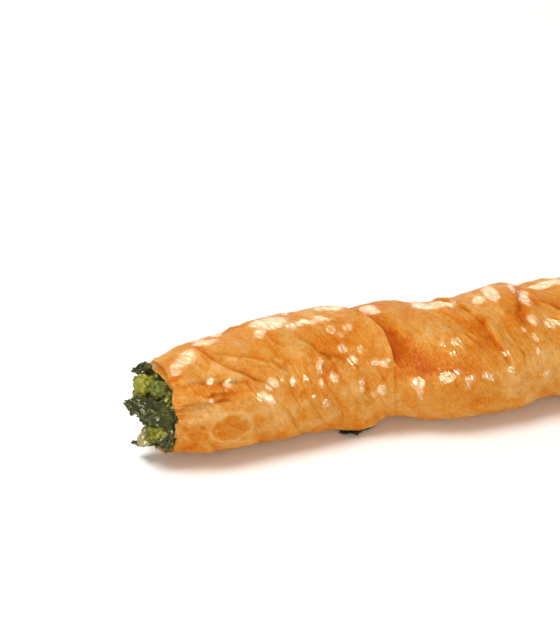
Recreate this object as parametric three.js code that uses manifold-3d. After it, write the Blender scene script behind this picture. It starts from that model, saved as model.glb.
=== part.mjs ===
// A baked spinach roll: a thin filo sheet wrapped and twisted round a core of chopped spinach,
// lying on its side. The pastry is one tube with an open mouth at each end. The filling is one
// solid that runs through the tube and stands out of both mouths as torn leaves and lumps of stem.
// A scrap of leaf is caught under the front of the roll.
//
// Units are millimetres, +Z is up, the roll lies along X and its underside rests on z = 0.
// Places on the roll are given in its own terms: "along" is the distance from the pastry's left
// mouth, and "turn" is the angle round the centre line in degrees, 0 at the front (-Y), 90 on top.

import * as THREE from "three";
import { mergeVertices } from "three/addons/utils/BufferGeometryUtils.js";
import Module from "manifold-3d";

const wasm = await Module();
wasm.setup();

// ---------------------------------------------------------------- driving dimensions

const pastryLength = 196;
const centreHeight = 17.4; // less than the radius, so the underside is pressed flat
const meanRadius = 19;
const boreBodyRadius = 15.4;
const mouthRadius = 15.2; // outer radius at the very edge of a mouth
const mouthBoreRadius = 13.9;
const mouthReach = 6.5; // how far from the edge the tube draws in
const clearance = 0.3; // between the pastry and what touches it
const twistPitch = 75; // the sheet's folds make one turn in this length

// Sideways drift of the centre line: [along, offset towards the back].
const centreDrift = [
  [0, 0], [18, 1.2], [40, 4.4], [70, 3.4], [93, -1.2], [115, -0.6], [140, 0.6], [170, 1.0], [196, 0],
];

// Outer radius between the mouths, before folds: [along, radius].
const bodyRadii = [
  [0, 17.9], [24, 18.3], [33, 19.5], [48, 19.5], [60, 18.7], [70, 18.8], [84, 18.8], [95, 19.5],
  [112, 19.9], [122, 19.2], [140, 19.0], [156, 19.6], [172, 18.7], [184, 18.6], [196, 17.9],
];

// Pillows that the filling pushes out, and hollows: their height, their reach along the roll and
// their reach round it in degrees.
const swells = [
  { along: 4, turn: 82, height: 0.7, reach: 7, spread: 24 },
  { along: 27, turn: 88, height: 0.7, reach: 6, spread: 30 },
  { along: 53, turn: 118, height: 0.7, reach: 5, spread: 25 },
  { along: 61.5, turn: -50, height: 2.6, reach: 7.5, spread: 24 },
  { along: 73, turn: -58, height: -1.3, reach: 5, spread: 26 },
  { along: 72, turn: 98, height: 1.1, reach: 6, spread: 34 },
  { along: 92, turn: 20, height: 0.8, reach: 9, spread: 30 },
  { along: 112, turn: 110, height: 1.4, reach: 5, spread: 32 },
  { along: 121, turn: -55, height: -0.9, reach: 6, spread: 30 },
  { along: 30, turn: 205, height: 1.1, reach: 11, spread: 34 },
  { along: 88, turn: 190, height: 1.2, reach: 10, spread: 36 },
  { along: 133, turn: 215, height: 1.0, reach: 9, spread: 30 },
  { along: 150, turn: 70, height: 1.2, reach: 8, spread: 34 },
  { along: 172, turn: 150, height: 1.1, reach: 8, spread: 36 },
  { along: 180, turn: 20, height: 1.0, reach: 8, spread: 30 },
];

// Folds where the sheet laps over itself. A path is a list of [turn, along]. The sheet on the right
// of the path's direction lies on top and ends in a lip; on the left the surface drops away.
// A lip and a drop are each [height at the path, width over which it fades].
const seenFolds = [
  // The lap that lies along the roll at the left mouth.
  { path: [[45, 23], [48, 15], [54, 12], [57, 5.6], [60, -3]], lip: [0.5, 3], drop: [0.9, 2.6] },
  // The first wrap, from the back over the top to the front, and three shallow ones after it.
  { path: [[165, 1], [102, 10.1], [76, 13.7], [57, 18.9], [44, 24], [30, 30]], lip: [0.5, 3], drop: [0.9, 3.2] },
  { path: [[100, 11.4], [81, 15.6], [68, 23.2], [56, 30], [36, 36.5]], lip: [0.5, 1.2], drop: [0.3, 1.6] },
  { path: [[250, 8], [180, 19], [130, 27], [98, 31.6], [66, 35]], lip: [0.5, 4], drop: [0.6, 2.4] },
  { path: [[74, 41], [60, 46.6], [54, 47.5], [46, 54], [40, 58]], lip: [0.6, 1.6], drop: [0.6, 2] },
  // The deep crease, from behind over the top and straight down to the underside.
  {
    path: [
      [252, 31], [180, 47], [130, 57.5], [96, 64.1], [82, 67.6], [71, 69.8], [62, 71.5],
      [47, 73], [33, 73.6], [2, 73.4], [-24, 74.2], [-62, 76],
    ],
    lip: [0.7, 3.2],
    drop: [1.9, 4.4],
  },
  // The second deep crease, with its lip on the far side, and two shallow ones that branch from it.
  {
    path: [
      [10, 109], [23, 106.8], [43, 104.2], [49, 103], [65, 101.9], [72, 101.2], [90, 98.1],
      [130, 91], [180, 80], [235, 68],
    ],
    lip: [0.8, 3],
    drop: [1.2, 3.4],
  },
  { path: [[30, 112], [42, 108], [51, 103.5]], lip: [0.5, 1.4], drop: [0.5, 1.6] },
  { path: [[72, 89], [60, 94.6], [48, 98.5]], lip: [0.4, 1.3], drop: [0.3, 1.6] },
  // The short upright crease behind the bulge on top, and the fold that leaves it.
  { path: [[215, 98], [160, 109], [112, 118], [98, 116], [82, 114.2], [62, 111.5]], lip: [0.7, 2.6], drop: [1.4, 2.8] },
  { path: [[106, 119.5], [80, 122.3], [64, 128], [40, 133]], lip: [0.6, 1.6], drop: [0.7, 2.2] },
];

// Folds elsewhere, laid by the twist alone: where each would cross the top, the turns it spans and
// how far it wanders from the true spiral.
const foldWander = 2.2;
const plainFolds = [
  { crossing: 137, from: 250, to: -50, lip: [0.7, 3], drop: [1.3, 3.4] },
  { crossing: 154, from: 240, to: -60, lip: [0.7, 3], drop: [1.6, 3.4] },
  { crossing: 170, from: 262, to: 10, lip: [0.6, 3], drop: [1.0, 3.4] },
  { crossing: 184, from: 230, to: -30, lip: [0.6, 3], drop: [1.2, 3.4] },
  { crossing: 5, from: 262, to: 165, lip: [0.6, 3], drop: [0.9, 3.4] },
  { crossing: 48, from: 265, to: 140, lip: [0.5, 3], drop: [0.9, 3.4] },
  { crossing: 128, from: 262, to: 130, lip: [0.5, 3], drop: [0.9, 3.4] },
];

// How far each mouth's torn edge stands out: [turn, distance], the same at 360 as at 0.
const mouthEdges = {
  left: [
    [0, 0.3], [30, 0.4], [60, 0], [85, 0.4], [112, 2.2], [140, 0.8], [190, -0.9], [240, 0.7],
    [275, 2.2], [315, 0.8], [360, 0.3],
  ],
  right: [[0, -0.3], [50, 1.0], [95, -0.8], [150, 0.6], [200, 1.6], [250, -0.4], [310, 0.7], [360, -0.3]],
};

// Relief that runs with the twist: sharp-topped wrinkles, and broad uneven lumps.
const wrinkles = { height: 0.5, width: 4.2, length: 17, seed: 7 };
const unevenness = { height: 0.55, width: 11, length: 11, seed: 40 };

// The plug of filling beyond a mouth: [distance out of the mouth, radius].
const plugProfile = [[1.5, 13.4], [3.2, 12.4], [4.8, 10.2], [6, 6.4]];
const plugTip = 6.8;
const plugRoughness = 0.8;

// Pieces of spinach at a mouth. "at", "tip" and "faces" are [out of the mouth, towards the front, up]:
// where the piece's middle is, which way its length points, and which way its broad side looks.
const leaves = [
  { at: [8, 7, 6.2], tip: [12.6, -4, 5.6], faces: [-3, 8, 6], length: 16, width: 9.5, bend: 40, cup: 1.2 },
  { at: [5.4, 9, 2.4], tip: [5, 3, -9], faces: [5, 9, 3], length: 11, width: 8.5, bend: 55, cup: -0.9 },
  { at: [5, 8.4, -4], tip: [9, 2, 2], faces: [3, 8, -2], length: 10, width: 7.5, bend: 35, cup: 0.9 },
  { at: [6.8, 3.4, -11.4], tip: [10, -2, 1], faces: [0, 2, -9], length: 11, width: 6, bend: -30, cup: 0.6 },
  { at: [5, -5, 12], tip: [5, -6, 3], faces: [3, -1, 9], length: 10, width: 7, bend: -50, cup: 1 },
  { at: [4.4, -8.4, -2.4], tip: [2, 3, -8], faces: [7, -8, 0], length: 11, width: 8, bend: -45, cup: -1 },
  { at: [6.8, -2, -3.4], tip: [2, 6, 7], faces: [9, 2, -1], length: 11, width: 8, bend: 55, cup: 1 },
  { at: [3.8, -6, -9.4], tip: [3, -6, -4], faces: [4, -5, -8], length: 9, width: 7, bend: 30, cup: 0.7 },
  { at: [4.6, -7.4, 6], tip: [3, -5, 6], faces: [6, -5, 6], length: 10, width: 8, bend: 60, cup: 1 },
  { at: [3, 9.6, -6.6], tip: [3, 1, -8], faces: [5, 9, -3], length: 7, width: 6, bend: 50, cup: 0.8 },
  { at: [4.2, 5, -11.2], tip: [5, 7, 1], faces: [2, 2, -9], length: 7, width: 5, bend: 30, cup: -0.5 },
  { at: [7, 1.8, 4.6], tip: [3, -7, 6], faces: [9, 3, 1], length: 10, width: 7.5, bend: -50, cup: 0.8 },
];

// Lumps of stem and chopped leaf, with their half-lengths along "tip" and across it.
const lumps = [
  { at: [7.6, 2, 11.4], tip: [2, 1, 6], size: [3.4, 2.9] },
  { at: [7.4, 4.6, -8], tip: [4, -1, -7], size: [4.2, 2.0] },
  { at: [6.6, -4.4, 1.4], tip: [5, -3, -2], size: [3.4, 2.3] },
  { at: [3.8, 5.8, 11.2], tip: [3, 2, 4], size: [3.6, 2.6] },
  { at: [8.6, 3.4, 7.4], tip: [5, -1, 3], size: [2.4, 1.6] },
];

const leafSeed = 10;
const lumpSeed = 50;

// The far mouth has the first few of the same pieces, turned round and a little smaller.
const mouths = {
  left: { turned: 0, scale: 1, leafCount: leaves.length, lumpCount: lumps.length },
  right: { turned: 160, scale: 0.95, leafCount: 9, lumpCount: 3 },
};

// The scrap of leaf that lies under the front of the roll, just above the table.
const scrap = { along: 61, front: 12.2, lift: 0.02, length: 11, width: 5.4, bend: 6, cup: 0.15, seed: 31 };

// ---------------------------------------------------------------- small tools

const degrees = (d) => (d * Math.PI) / 180;
const clamp01 = (t) => Math.min(1, Math.max(0, t));
const smooth = (t) => clamp01(t) ** 2 * (3 - 2 * clamp01(t));
const bell = (t) => Math.exp(-t * t);
const signedTurn = (d) => d - 360 * Math.floor((d + 180) / 360); // -180 to 180
const fullTurn = (d) => d - 360 * Math.floor(d / 360); // 0 to 360

// A smooth curve through [x, y] points, held level beyond them.
function curveThrough(points) {
  const slopes = points.map((_, i) => {
    const before = points[Math.max(0, i - 1)];
    const after = points[Math.min(points.length - 1, i + 1)];
    return (after[1] - before[1]) / (after[0] - before[0]);
  });
  return (x) => {
    let i = 0;
    while (i < points.length - 2 && x > points[i + 1][0]) i++;
    const width = points[i + 1][0] - points[i][0];
    const t = clamp01((x - points[i][0]) / width);
    const rise = t * t * (3 - 2 * t);
    return (
      points[i][1] * (1 - rise) +
      points[i + 1][1] * rise +
      width * slopes[i] * t * (1 - t) ** 2 -
      width * slopes[i + 1] * t * t * (1 - t)
    );
  };
}

// A fixed value from -1 to 1 for each whole-numbered lattice point.
function latticeValue(x, y, z) {
  let h = Math.imul(x, 374761393) ^ Math.imul(y, 668265263) ^ Math.imul(z, 1440662683);
  h = Math.imul(h ^ (h >>> 13), 1274126177);
  h = Math.imul(h ^ (h >>> 15), 2246822519);
  return ((h ^ (h >>> 16)) >>> 0) / 2147483647.5 - 1;
}

// Smooth noise from -1 to 1 between the lattice points.
function noise(x, y, z) {
  const [ix, iy, iz] = [Math.floor(x), Math.floor(y), Math.floor(z)];
  const [fx, fy, fz] = [smooth(x - ix), smooth(y - iy), smooth(z - iz)];
  let sum = 0;
  for (const [dx, wx] of [[0, 1 - fx], [1, fx]])
    for (const [dy, wy] of [[0, 1 - fy], [1, fy]])
      for (const [dz, wz] of [[0, 1 - fz], [1, fz]])
        sum += wx * wy * wz * latticeValue(ix + dx, iy + dy, iz + dz);
  return sum;
}

// ---------------------------------------------------------------- the roll's form

const centreOffset = curveThrough(centreDrift);
const bodyRadius = curveThrough(bodyRadii);
const edgeOf = { left: curveThrough(mouthEdges.left), right: curveThrough(mouthEdges.right) };

// The level directions at a place along the roll: down the roll, and out towards the front.
function headings(along) {
  const step = 0.5;
  const slope = (centreOffset(along + step) - centreOffset(along - step)) / (2 * step);
  const length = Math.hypot(1, slope);
  return {
    down: new THREE.Vector3(1 / length, slope / length, 0),
    front: new THREE.Vector3(slope / length, -1 / length, 0),
  };
}

function centrePoint(along) {
  return new THREE.Vector3(along, centreOffset(along), centreHeight);
}

// A point at a distance from the centre line.
function place(along, turn, radius) {
  return centrePoint(along)
    .addScaledVector(headings(along).front, radius * Math.cos(degrees(turn)))
    .add(new THREE.Vector3(0, 0, radius * Math.sin(degrees(turn))));
}

function plainFoldPath({ crossing, from, to }) {
  const steps = 7;
  return Array.from({ length: steps + 1 }, (_, i) => {
    const turn = from + ((to - from) * i) / steps;
    const wander = foldWander * noise(crossing, turn / 40, 0);
    return [turn, crossing + ((90 - turn) / 360) * twistPitch + wander];
  });
}

// Every fold with its path as points on the unrolled surface: x is along, y is distance round.
const folds = [
  ...seenFolds,
  ...plainFolds.map((fold) => ({ ...fold, path: plainFoldPath(fold) })),
].map((fold) => ({
  ...fold,
  middle: (fold.path[0][0] + fold.path.at(-1)[0]) / 2,
  points: fold.path.map(([turn, along]) => [along, degrees(turn) * meanRadius]),
}));

// Signed distance from a fold's path, positive on its left, and how far down the path that is, 0 to 1.
function measureFold({ middle, points }, along, turn) {
  const round = degrees(middle + signedTurn(turn - middle)) * meanRadius;
  let best = { distance: Infinity, share: 0 };
  for (let i = 0; i < points.length - 1; i++) {
    const [ax, ay] = points[i];
    const [dx, dy] = [points[i + 1][0] - ax, points[i + 1][1] - ay];
    const t = clamp01(((along - ax) * dx + (round - ay) * dy) / (dx * dx + dy * dy));
    const [rx, ry] = [along - ax - t * dx, round - ay - t * dy];
    const distance = Math.hypot(rx, ry);
    if (distance < Math.abs(best.distance)) {
      const side = dx * ry - dy * rx < 0 ? -1 : 1;
      best = { distance: distance * side, share: (i + t) / (points.length - 1) };
    }
  }
  return best;
}

function foldRelief(along, turn) {
  const stepWidth = 0.5;
  const fadeShare = 0.16;
  let relief = 0;
  for (const fold of folds) {
    const { distance, share } = measureFold(fold, along, turn);
    const fade = smooth(share / fadeShare) * smooth((1 - share) / fadeShare);
    const left = smooth((distance + stepWidth) / (2 * stepWidth));
    const [[lip, lipWidth], [drop, dropWidth]] = [fold.lip, fold.drop];
    const raised = lip * Math.exp(-Math.abs(distance) / lipWidth);
    const sunk = drop * Math.exp(-Math.abs(distance) / dropWidth);
    relief += fade * ((1 - left) * raised - left * sunk);
  }
  return relief;
}

function swellRelief(along, turn) {
  let relief = 0;
  for (const s of swells)
    relief += s.height * bell((along - s.along) / s.reach) * bell(signedTurn(turn - s.turn) / s.spread);
  return relief;
}

// Noise laid out along the twist, so that what it makes runs the way the sheet is wound.
function twistedNoise(along, turn, { width, length, seed }) {
  const angle = degrees(turn) + (2 * Math.PI * along) / twistPitch;
  return noise(
    (meanRadius * Math.cos(angle)) / width + seed,
    (meanRadius * Math.sin(angle)) / width + seed,
    along / length,
  );
}

// 1 at the edge of a mouth, fading to 0 where the tube has its full width.
function drawnIn(along) {
  const fromMouth = Math.max(0, Math.min(along, pastryLength - along));
  return Math.exp(-((fromMouth / mouthReach) ** 1.5));
}

function outerRadius(along, turn) {
  const relief = swellRelief(along, turn) + foldRelief(along, turn);
  const wrinkle = wrinkles.height * (0.5 - Math.abs(twistedNoise(along, turn, wrinkles)));
  const uneven = unevenness.height * twistedNoise(along, turn, unevenness);
  const body = bodyRadius(along) + relief + wrinkle + uneven;
  const mouth = mouthRadius + relief / 2;
  return THREE.MathUtils.lerp(body, mouth, drawnIn(along));
}

function boreRadius(along) {
  return THREE.MathUtils.lerp(boreBodyRadius, mouthBoreRadius, drawnIn(along));
}

// ---------------------------------------------------------------- solids from grids

function meshGeometry(vertices, triangles) {
  const geometry = new THREE.BufferGeometry();
  const numbers = vertices.flatMap((v) => [v.x, v.y, v.z]);
  geometry.setAttribute("position", new THREE.Float32BufferAttribute(numbers, 3));
  geometry.setIndex(triangles.flat());
  geometry.computeVertexNormals();
  return geometry;
}

function toSolid(geometry) {
  const bare = geometry.clone();
  bare.deleteAttribute("normal");
  bare.deleteAttribute("uv");
  const merged = mergeVertices(bare, 1e-4);
  return new wasm.Manifold(
    new wasm.Mesh({
      numProp: 3,
      vertProperties: merged.attributes.position.array,
      triVerts: new Uint32Array(merged.index.array),
    }),
  );
}

function toGeometry(solid) {
  const { vertProperties, triVerts } = solid.getMesh();
  const geometry = new THREE.BufferGeometry();
  geometry.setAttribute("position", new THREE.BufferAttribute(vertProperties, 3));
  geometry.setIndex(new THREE.BufferAttribute(triVerts, 1));
  geometry.computeVertexNormals();
  return geometry;
}

// The largest body of a solid, without the scraps that a cut leaves loose.
function largestBody(solid) {
  return solid.decompose().reduce((best, body) => (body.volume() > best.volume() ? body : best));
}

// Triangles between two rings of vertices. The second ring may have half as many as the first.
// They face away from the centre line if the second ring lies further along the roll.
function bridge(first, second) {
  const ratio = first.length / second.length;
  const triangles = [];
  for (let i = 0; i < first.length; i += ratio) {
    const [a, b, c] = [first[i], first[(i + 1) % first.length], first[(i + ratio) % first.length]];
    const [d, e] = [second[i / ratio], second[(i / ratio + 1) % second.length]];
    if (ratio === 2) triangles.push([a, d, b], [b, d, e], [b, e, c]);
    else triangles.push([a, d, c], [c, d, e]);
  }
  return triangles;
}

// ---------------------------------------------------------------- pastry

const roundSteps = 60;
const outerSteps = 60;
const outerTurns = 3; // the outer grid winds round with the folds, a whole number of turns
const crowding = 0.035; // how much closer together its rings are at the mouths
const lipBulge = 0.35; // how far the middle of a mouth's thin edge stands out
const boreStations = [0, 3, 7, 13, 30, 48, 66, 82, 98, 114, 132, 150, 168, 183, 189, 193, 196];

// The pastry tube, grown by a margin on every side.
function pastryGeometry(margin) {
  const vertices = [];
  const rings = [];
  const addRing = (count, share, winding, radiusAt, outwards = 0) => {
    rings.push(
      Array.from({ length: count }, (_, i) => {
        const turn = fullTurn((360 * i) / count - 360 * winding * share);
        const left = -edgeOf.left(turn) - margin;
        const right = pastryLength + edgeOf.right(turn) + margin;
        const along = left + share * (right - left);
        const point = place(along + outwards, turn, radiusAt(along, turn));
        point.z = Math.max(point.z, -margin);
        return vertices.push(point) - 1;
      }),
    );
  };
  const outer = (along, turn) => outerRadius(along, turn) + margin;
  const middle = (along, turn) => (outerRadius(along, turn) + boreRadius(along)) / 2;
  const inner = (along) => boreRadius(along) - margin;

  for (let j = 0; j <= outerSteps; j++) {
    const even = j / outerSteps;
    addRing(roundSteps, even - crowding * Math.sin(2 * Math.PI * even), outerTurns, outer);
  }
  addRing(roundSteps, 1, 0, middle, lipBulge);
  for (const station of [...boreStations].reverse())
    addRing(roundSteps / 2, station / pastryLength, 0, inner);
  addRing(roundSteps, 0, 0, middle, -lipBulge);

  const triangles = rings.flatMap((ring, j) => {
    const next = rings[(j + 1) % rings.length];
    if (next.length <= ring.length) return bridge(ring, next);
    return bridge(next, ring).map(([a, b, c]) => [a, c, b]);
  });
  return meshGeometry(vertices, triangles);
}

// ---------------------------------------------------------------- filling

const coreSides = 20;
const coreGap = clearance + 0.1; // so that the core's corners stay clear of the bore's flat sides

// The core of the filling: a tube that fits the bore and ends in a rough dome beyond each mouth.
function coreGeometry() {
  const tube = boreStations.map((along) => [along, boreRadius(along) - coreGap]);
  const left = [...plugProfile].reverse().map(([out, radius]) => [-out, radius]);
  const right = plugProfile.map(([out, radius]) => [pastryLength + out, radius]);
  const vertices = [];
  const rings = [...left, ...tube, ...right].map(([along, radius]) => {
    const outside = along < 0 || along > pastryLength;
    return Array.from({ length: coreSides }, (_, i) => {
      const turn = (360 * i) / coreSides;
      const rough = outside ? plugRoughness * noise(along, turn / 35, 3) : 0;
      return vertices.push(place(along + rough, turn, radius + Math.min(0, rough))) - 1;
    });
  });
  const triangles = rings.slice(0, -1).flatMap((ring, j) => bridge(ring, rings[j + 1]));
  const close = (ring, along, flipped) => {
    const tip = vertices.push(centrePoint(along)) - 1;
    ring.forEach((a, i) => {
      const b = ring[(i + 1) % ring.length];
      triangles.push(flipped ? [b, a, tip] : [a, b, tip]);
    });
  };
  close(rings[0], -plugTip, false);
  close(rings.at(-1), pastryLength + plugTip, true);
  return meshGeometry(vertices, triangles);
}

// A thin wavy leaf, its length along X and its broad side facing +Z.
function leafGeometry({ length, width, bend, cup, seed }) {
  const alongSteps = 5;
  const acrossSteps = 2;
  const thickness = 0.7;
  const narrowest = 0.14; // of the width, where the leaf ends in a torn stalk and tip
  const arcRadius = length / degrees(bend);
  const vertices = [];
  const face = (side) =>
    Array.from({ length: alongSteps + 1 }, (_, i) => {
      const t = i / alongSteps;
      const fullness = Math.sin(Math.PI * t ** 0.8) ** 0.7 * (1 + 0.35 * noise(seed, 3.1 * t, 1));
      const half = (width / 2) * Math.max(narrowest, fullness);
      const angle = degrees(bend) * (t - 0.5);
      return Array.from({ length: acrossSteps + 1 }, (_, j) => {
        const q = (2 * j) / acrossSteps - 1;
        const wave = 0.1 * width * noise(4 * t, 2 * q, seed) + cup * q * q;
        const rise = arcRadius * (1 - Math.cos(angle)) + wave + (side * thickness) / 2;
        return vertices.push(new THREE.Vector3(arcRadius * Math.sin(angle), half * q, rise)) - 1;
      });
    });
  const top = face(1);
  const bottom = face(-1);
  const triangles = [];
  for (let i = 0; i < alongSteps; i++)
    for (let j = 0; j < acrossSteps; j++)
      for (const [side, rows] of [[1, top], [-1, bottom]]) {
        const [a, b, c, d] = [rows[i][j], rows[i + 1][j], rows[i + 1][j + 1], rows[i][j + 1]];
        triangles.push(...(side > 0 ? [[a, b, c], [a, c, d]] : [[a, c, b], [a, d, c]]));
      }
  const border = (rows) => [
    ...rows.map((row) => row[0]),
    ...rows.at(-1).slice(1),
    ...rows.slice(0, -1).reverse().map((row) => row.at(-1)),
    ...rows[0].slice(1, -1).reverse(),
  ];
  triangles.push(...bridge(border(top), border(bottom)));
  return meshGeometry(vertices, triangles);
}

// A bumpy lump, its length along X.
function lumpGeometry({ size: [half, across], seed }) {
  const bumps = 0.22;
  const ball = new THREE.IcosahedronGeometry(1, 1).deleteAttribute("normal").deleteAttribute("uv");
  const geometry = mergeVertices(ball);
  const position = geometry.attributes.position;
  for (let i = 0; i < position.count; i++) {
    const p = new THREE.Vector3().fromBufferAttribute(position, i);
    p.multiplyScalar(1 + bumps * noise(2 * p.x + seed, 2 * p.y, 2 * p.z));
    position.setXYZ(i, half * p.x, across * p.y, across * p.z);
  }
  return geometry;
}

// Moves a piece from its own axes to its place at a mouth.
function setAtMouth(geometry, { at, tip, faces = [0, 1, 0] }, end) {
  const { turned, scale } = mouths[end];
  const along = end === "left" ? 0 : pastryLength;
  const { down, front } = headings(along);
  const out = down.clone().multiplyScalar(end === "left" ? -1 : 1);
  const toWorld = ([o, f, u]) => {
    const around = new THREE.Vector2(f, u).rotateAround(new THREE.Vector2(), degrees(turned));
    return new THREE.Vector3(0, 0, around.y).addScaledVector(out, o).addScaledVector(front, around.x);
  };
  const x = toWorld(tip).normalize();
  const z = toWorld(faces).projectOnPlane(x).normalize();
  const y = new THREE.Vector3().crossVectors(z, x);
  const middle = centrePoint(along).addScaledVector(toWorld(at), scale);
  const matrix = new THREE.Matrix4().makeBasis(x, y, z).setPosition(middle);
  return geometry.scale(scale, scale, scale).applyMatrix4(matrix);
}

function fillingSolid(pastryWithMargin) {
  const pieces = Object.entries(mouths).flatMap(([end, { leafCount, lumpCount }]) => [
    ...leaves.slice(0, leafCount).map((leaf, i) => {
      return setAtMouth(leafGeometry({ ...leaf, seed: leafSeed + i }), leaf, end);
    }),
    ...lumps.slice(0, lumpCount).map((lump, i) => {
      return setAtMouth(lumpGeometry({ ...lump, seed: lumpSeed + i }), lump, end);
    }),
  ]);
  const joined = pieces.map(toSolid).reduce((sum, piece) => sum.add(piece), toSolid(coreGeometry()));
  return largestBody(joined.subtract(pastryWithMargin));
}

// ---------------------------------------------------------------- scrap

function scrapSolid(pastryWithMargin) {
  const geometry = leafGeometry(scrap);
  geometry.computeBoundingBox();
  const { front } = headings(scrap.along);
  const middle = centrePoint(scrap.along).addScaledVector(front, scrap.front);
  geometry.translate(middle.x, middle.y, scrap.lift - geometry.boundingBox.min.z);
  return largestBody(toSolid(geometry).subtract(pastryWithMargin));
}

// ---------------------------------------------------------------- the object

const finish = (name, color, roughness) =>
  new THREE.MeshStandardMaterial({ name, color, roughness, metalness: 0 });
const bakedPastry = finish("pastry", 0xdb9a4c, 0.35);
const cookedSpinach = finish("spinach", 0x3f5420, 0.45);


const pastryWithMargin = toSolid(pastryGeometry(clearance));
const shapes = {
  pastry: [pastryGeometry(0), bakedPastry],
  filling: [toGeometry(fillingSolid(pastryWithMargin)), cookedSpinach],
  leaf_scrap: [toGeometry(scrapSolid(pastryWithMargin)), cookedSpinach],
};

const roll = new THREE.Group();
roll.name = "spinach_roll";
for (const [name, [geometry, material]] of Object.entries(shapes)) {
  const mesh = new THREE.Mesh(geometry, material);
  mesh.name = name;
  roll.add(mesh);
}

// The origin is the middle of the roll's box, on the table.
const middle = new THREE.Box3().setFromObject(roll).getCenter(new THREE.Vector3());
for (const mesh of roll.children) mesh.position.set(-middle.x, -middle.y, 0);

export default roll;
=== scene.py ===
# A baked spinach roll lying on its side: glossy twisted filo round a core of chopped spinach.
#
# The form is worked out in millimetres, in the roll's own terms. "Along" is the distance from the
# pastry's left mouth, and "turn" is the angle round the centre line in degrees, 0 at the front,
# 90 on top. Meshes are made in metres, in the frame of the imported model.

import math

import bmesh
import bpy
import numpy as np
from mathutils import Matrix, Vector


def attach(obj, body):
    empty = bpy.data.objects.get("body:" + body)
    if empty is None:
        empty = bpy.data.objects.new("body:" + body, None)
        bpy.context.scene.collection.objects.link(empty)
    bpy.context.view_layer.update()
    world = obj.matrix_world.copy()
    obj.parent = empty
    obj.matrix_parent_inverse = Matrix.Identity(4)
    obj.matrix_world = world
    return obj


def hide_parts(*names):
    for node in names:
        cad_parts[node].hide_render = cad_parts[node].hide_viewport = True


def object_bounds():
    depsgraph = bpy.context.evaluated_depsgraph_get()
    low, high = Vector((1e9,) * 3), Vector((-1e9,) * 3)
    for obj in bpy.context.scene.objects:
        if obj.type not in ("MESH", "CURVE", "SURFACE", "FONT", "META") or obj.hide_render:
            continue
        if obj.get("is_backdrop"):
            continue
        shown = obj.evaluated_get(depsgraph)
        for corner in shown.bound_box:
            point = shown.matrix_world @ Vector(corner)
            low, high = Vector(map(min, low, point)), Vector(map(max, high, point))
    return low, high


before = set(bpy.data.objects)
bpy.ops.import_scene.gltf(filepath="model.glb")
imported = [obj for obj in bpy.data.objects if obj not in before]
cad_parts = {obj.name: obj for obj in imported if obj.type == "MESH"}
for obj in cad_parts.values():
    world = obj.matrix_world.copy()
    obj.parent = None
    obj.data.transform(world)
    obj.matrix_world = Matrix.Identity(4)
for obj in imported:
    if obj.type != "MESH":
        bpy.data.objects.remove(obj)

cad_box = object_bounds()
MM = 0.001
UP = np.array([0.0, 0.0, 1.0])

# ---------------------------------------------------------------- driving dimensions, mm

# Where the frame's origin lies: along the roll, and back of the middle line at the left mouth.
ORIGIN_ALONG = 97.851
ORIGIN_OFFSET = 1.492

PASTRY_LENGTH = 196
CENTRE_HEIGHT = 17.4
MEAN_RADIUS = 19
BORE_BODY_RADIUS = 15.4
MOUTH_RADIUS = 15.2
MOUTH_BORE_RADIUS = 13.9
MOUTH_REACH = 6.5
MOUTH_STEEPNESS = 1.5  # of the narrowing to a mouth
CLEARANCE = 0.3
TWIST_PITCH = 75

# How far back the middle line lies, then the tube's radius, both as (along, value).
CENTRE_DRIFT = [
    (0, 0), (18, 1.2), (40, 4.4), (70, 3.4), (93, -1.2), (115, -0.6), (140, 0.6), (170, 1.0), (196, 0),
]
BODY_RADII = [
    (0, 17.9), (24, 18.3), (33, 19.5), (48, 19.5), (60, 18.7), (70, 18.8), (84, 18.8), (95, 19.5),
    (112, 19.9), (122, 19.2), (140, 19.0), (156, 19.6), (172, 18.7), (184, 18.6), (196, 17.9),
]

# Pillows and hollows: along, turn, height, reach along, reach round in degrees.
SWELLS = [
    (4, 82, 0.7, 7, 24), (27, 88, 0.7, 6, 30), (53, 118, 0.7, 5, 25), (61.5, -50, 2.6, 7.5, 24),
    (73, -58, -1.3, 5, 26), (72, 98, 1.1, 6, 34), (92, 20, 0.8, 9, 30), (112, 110, 1.4, 5, 32),
    (121, -55, -0.9, 6, 30), (30, 205, 1.1, 11, 34), (88, 190, 1.2, 10, 36), (133, 215, 1.0, 9, 30),
    (150, 70, 1.2, 8, 34), (172, 150, 1.1, 8, 36), (180, 20, 1.0, 8, 30),
]

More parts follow.
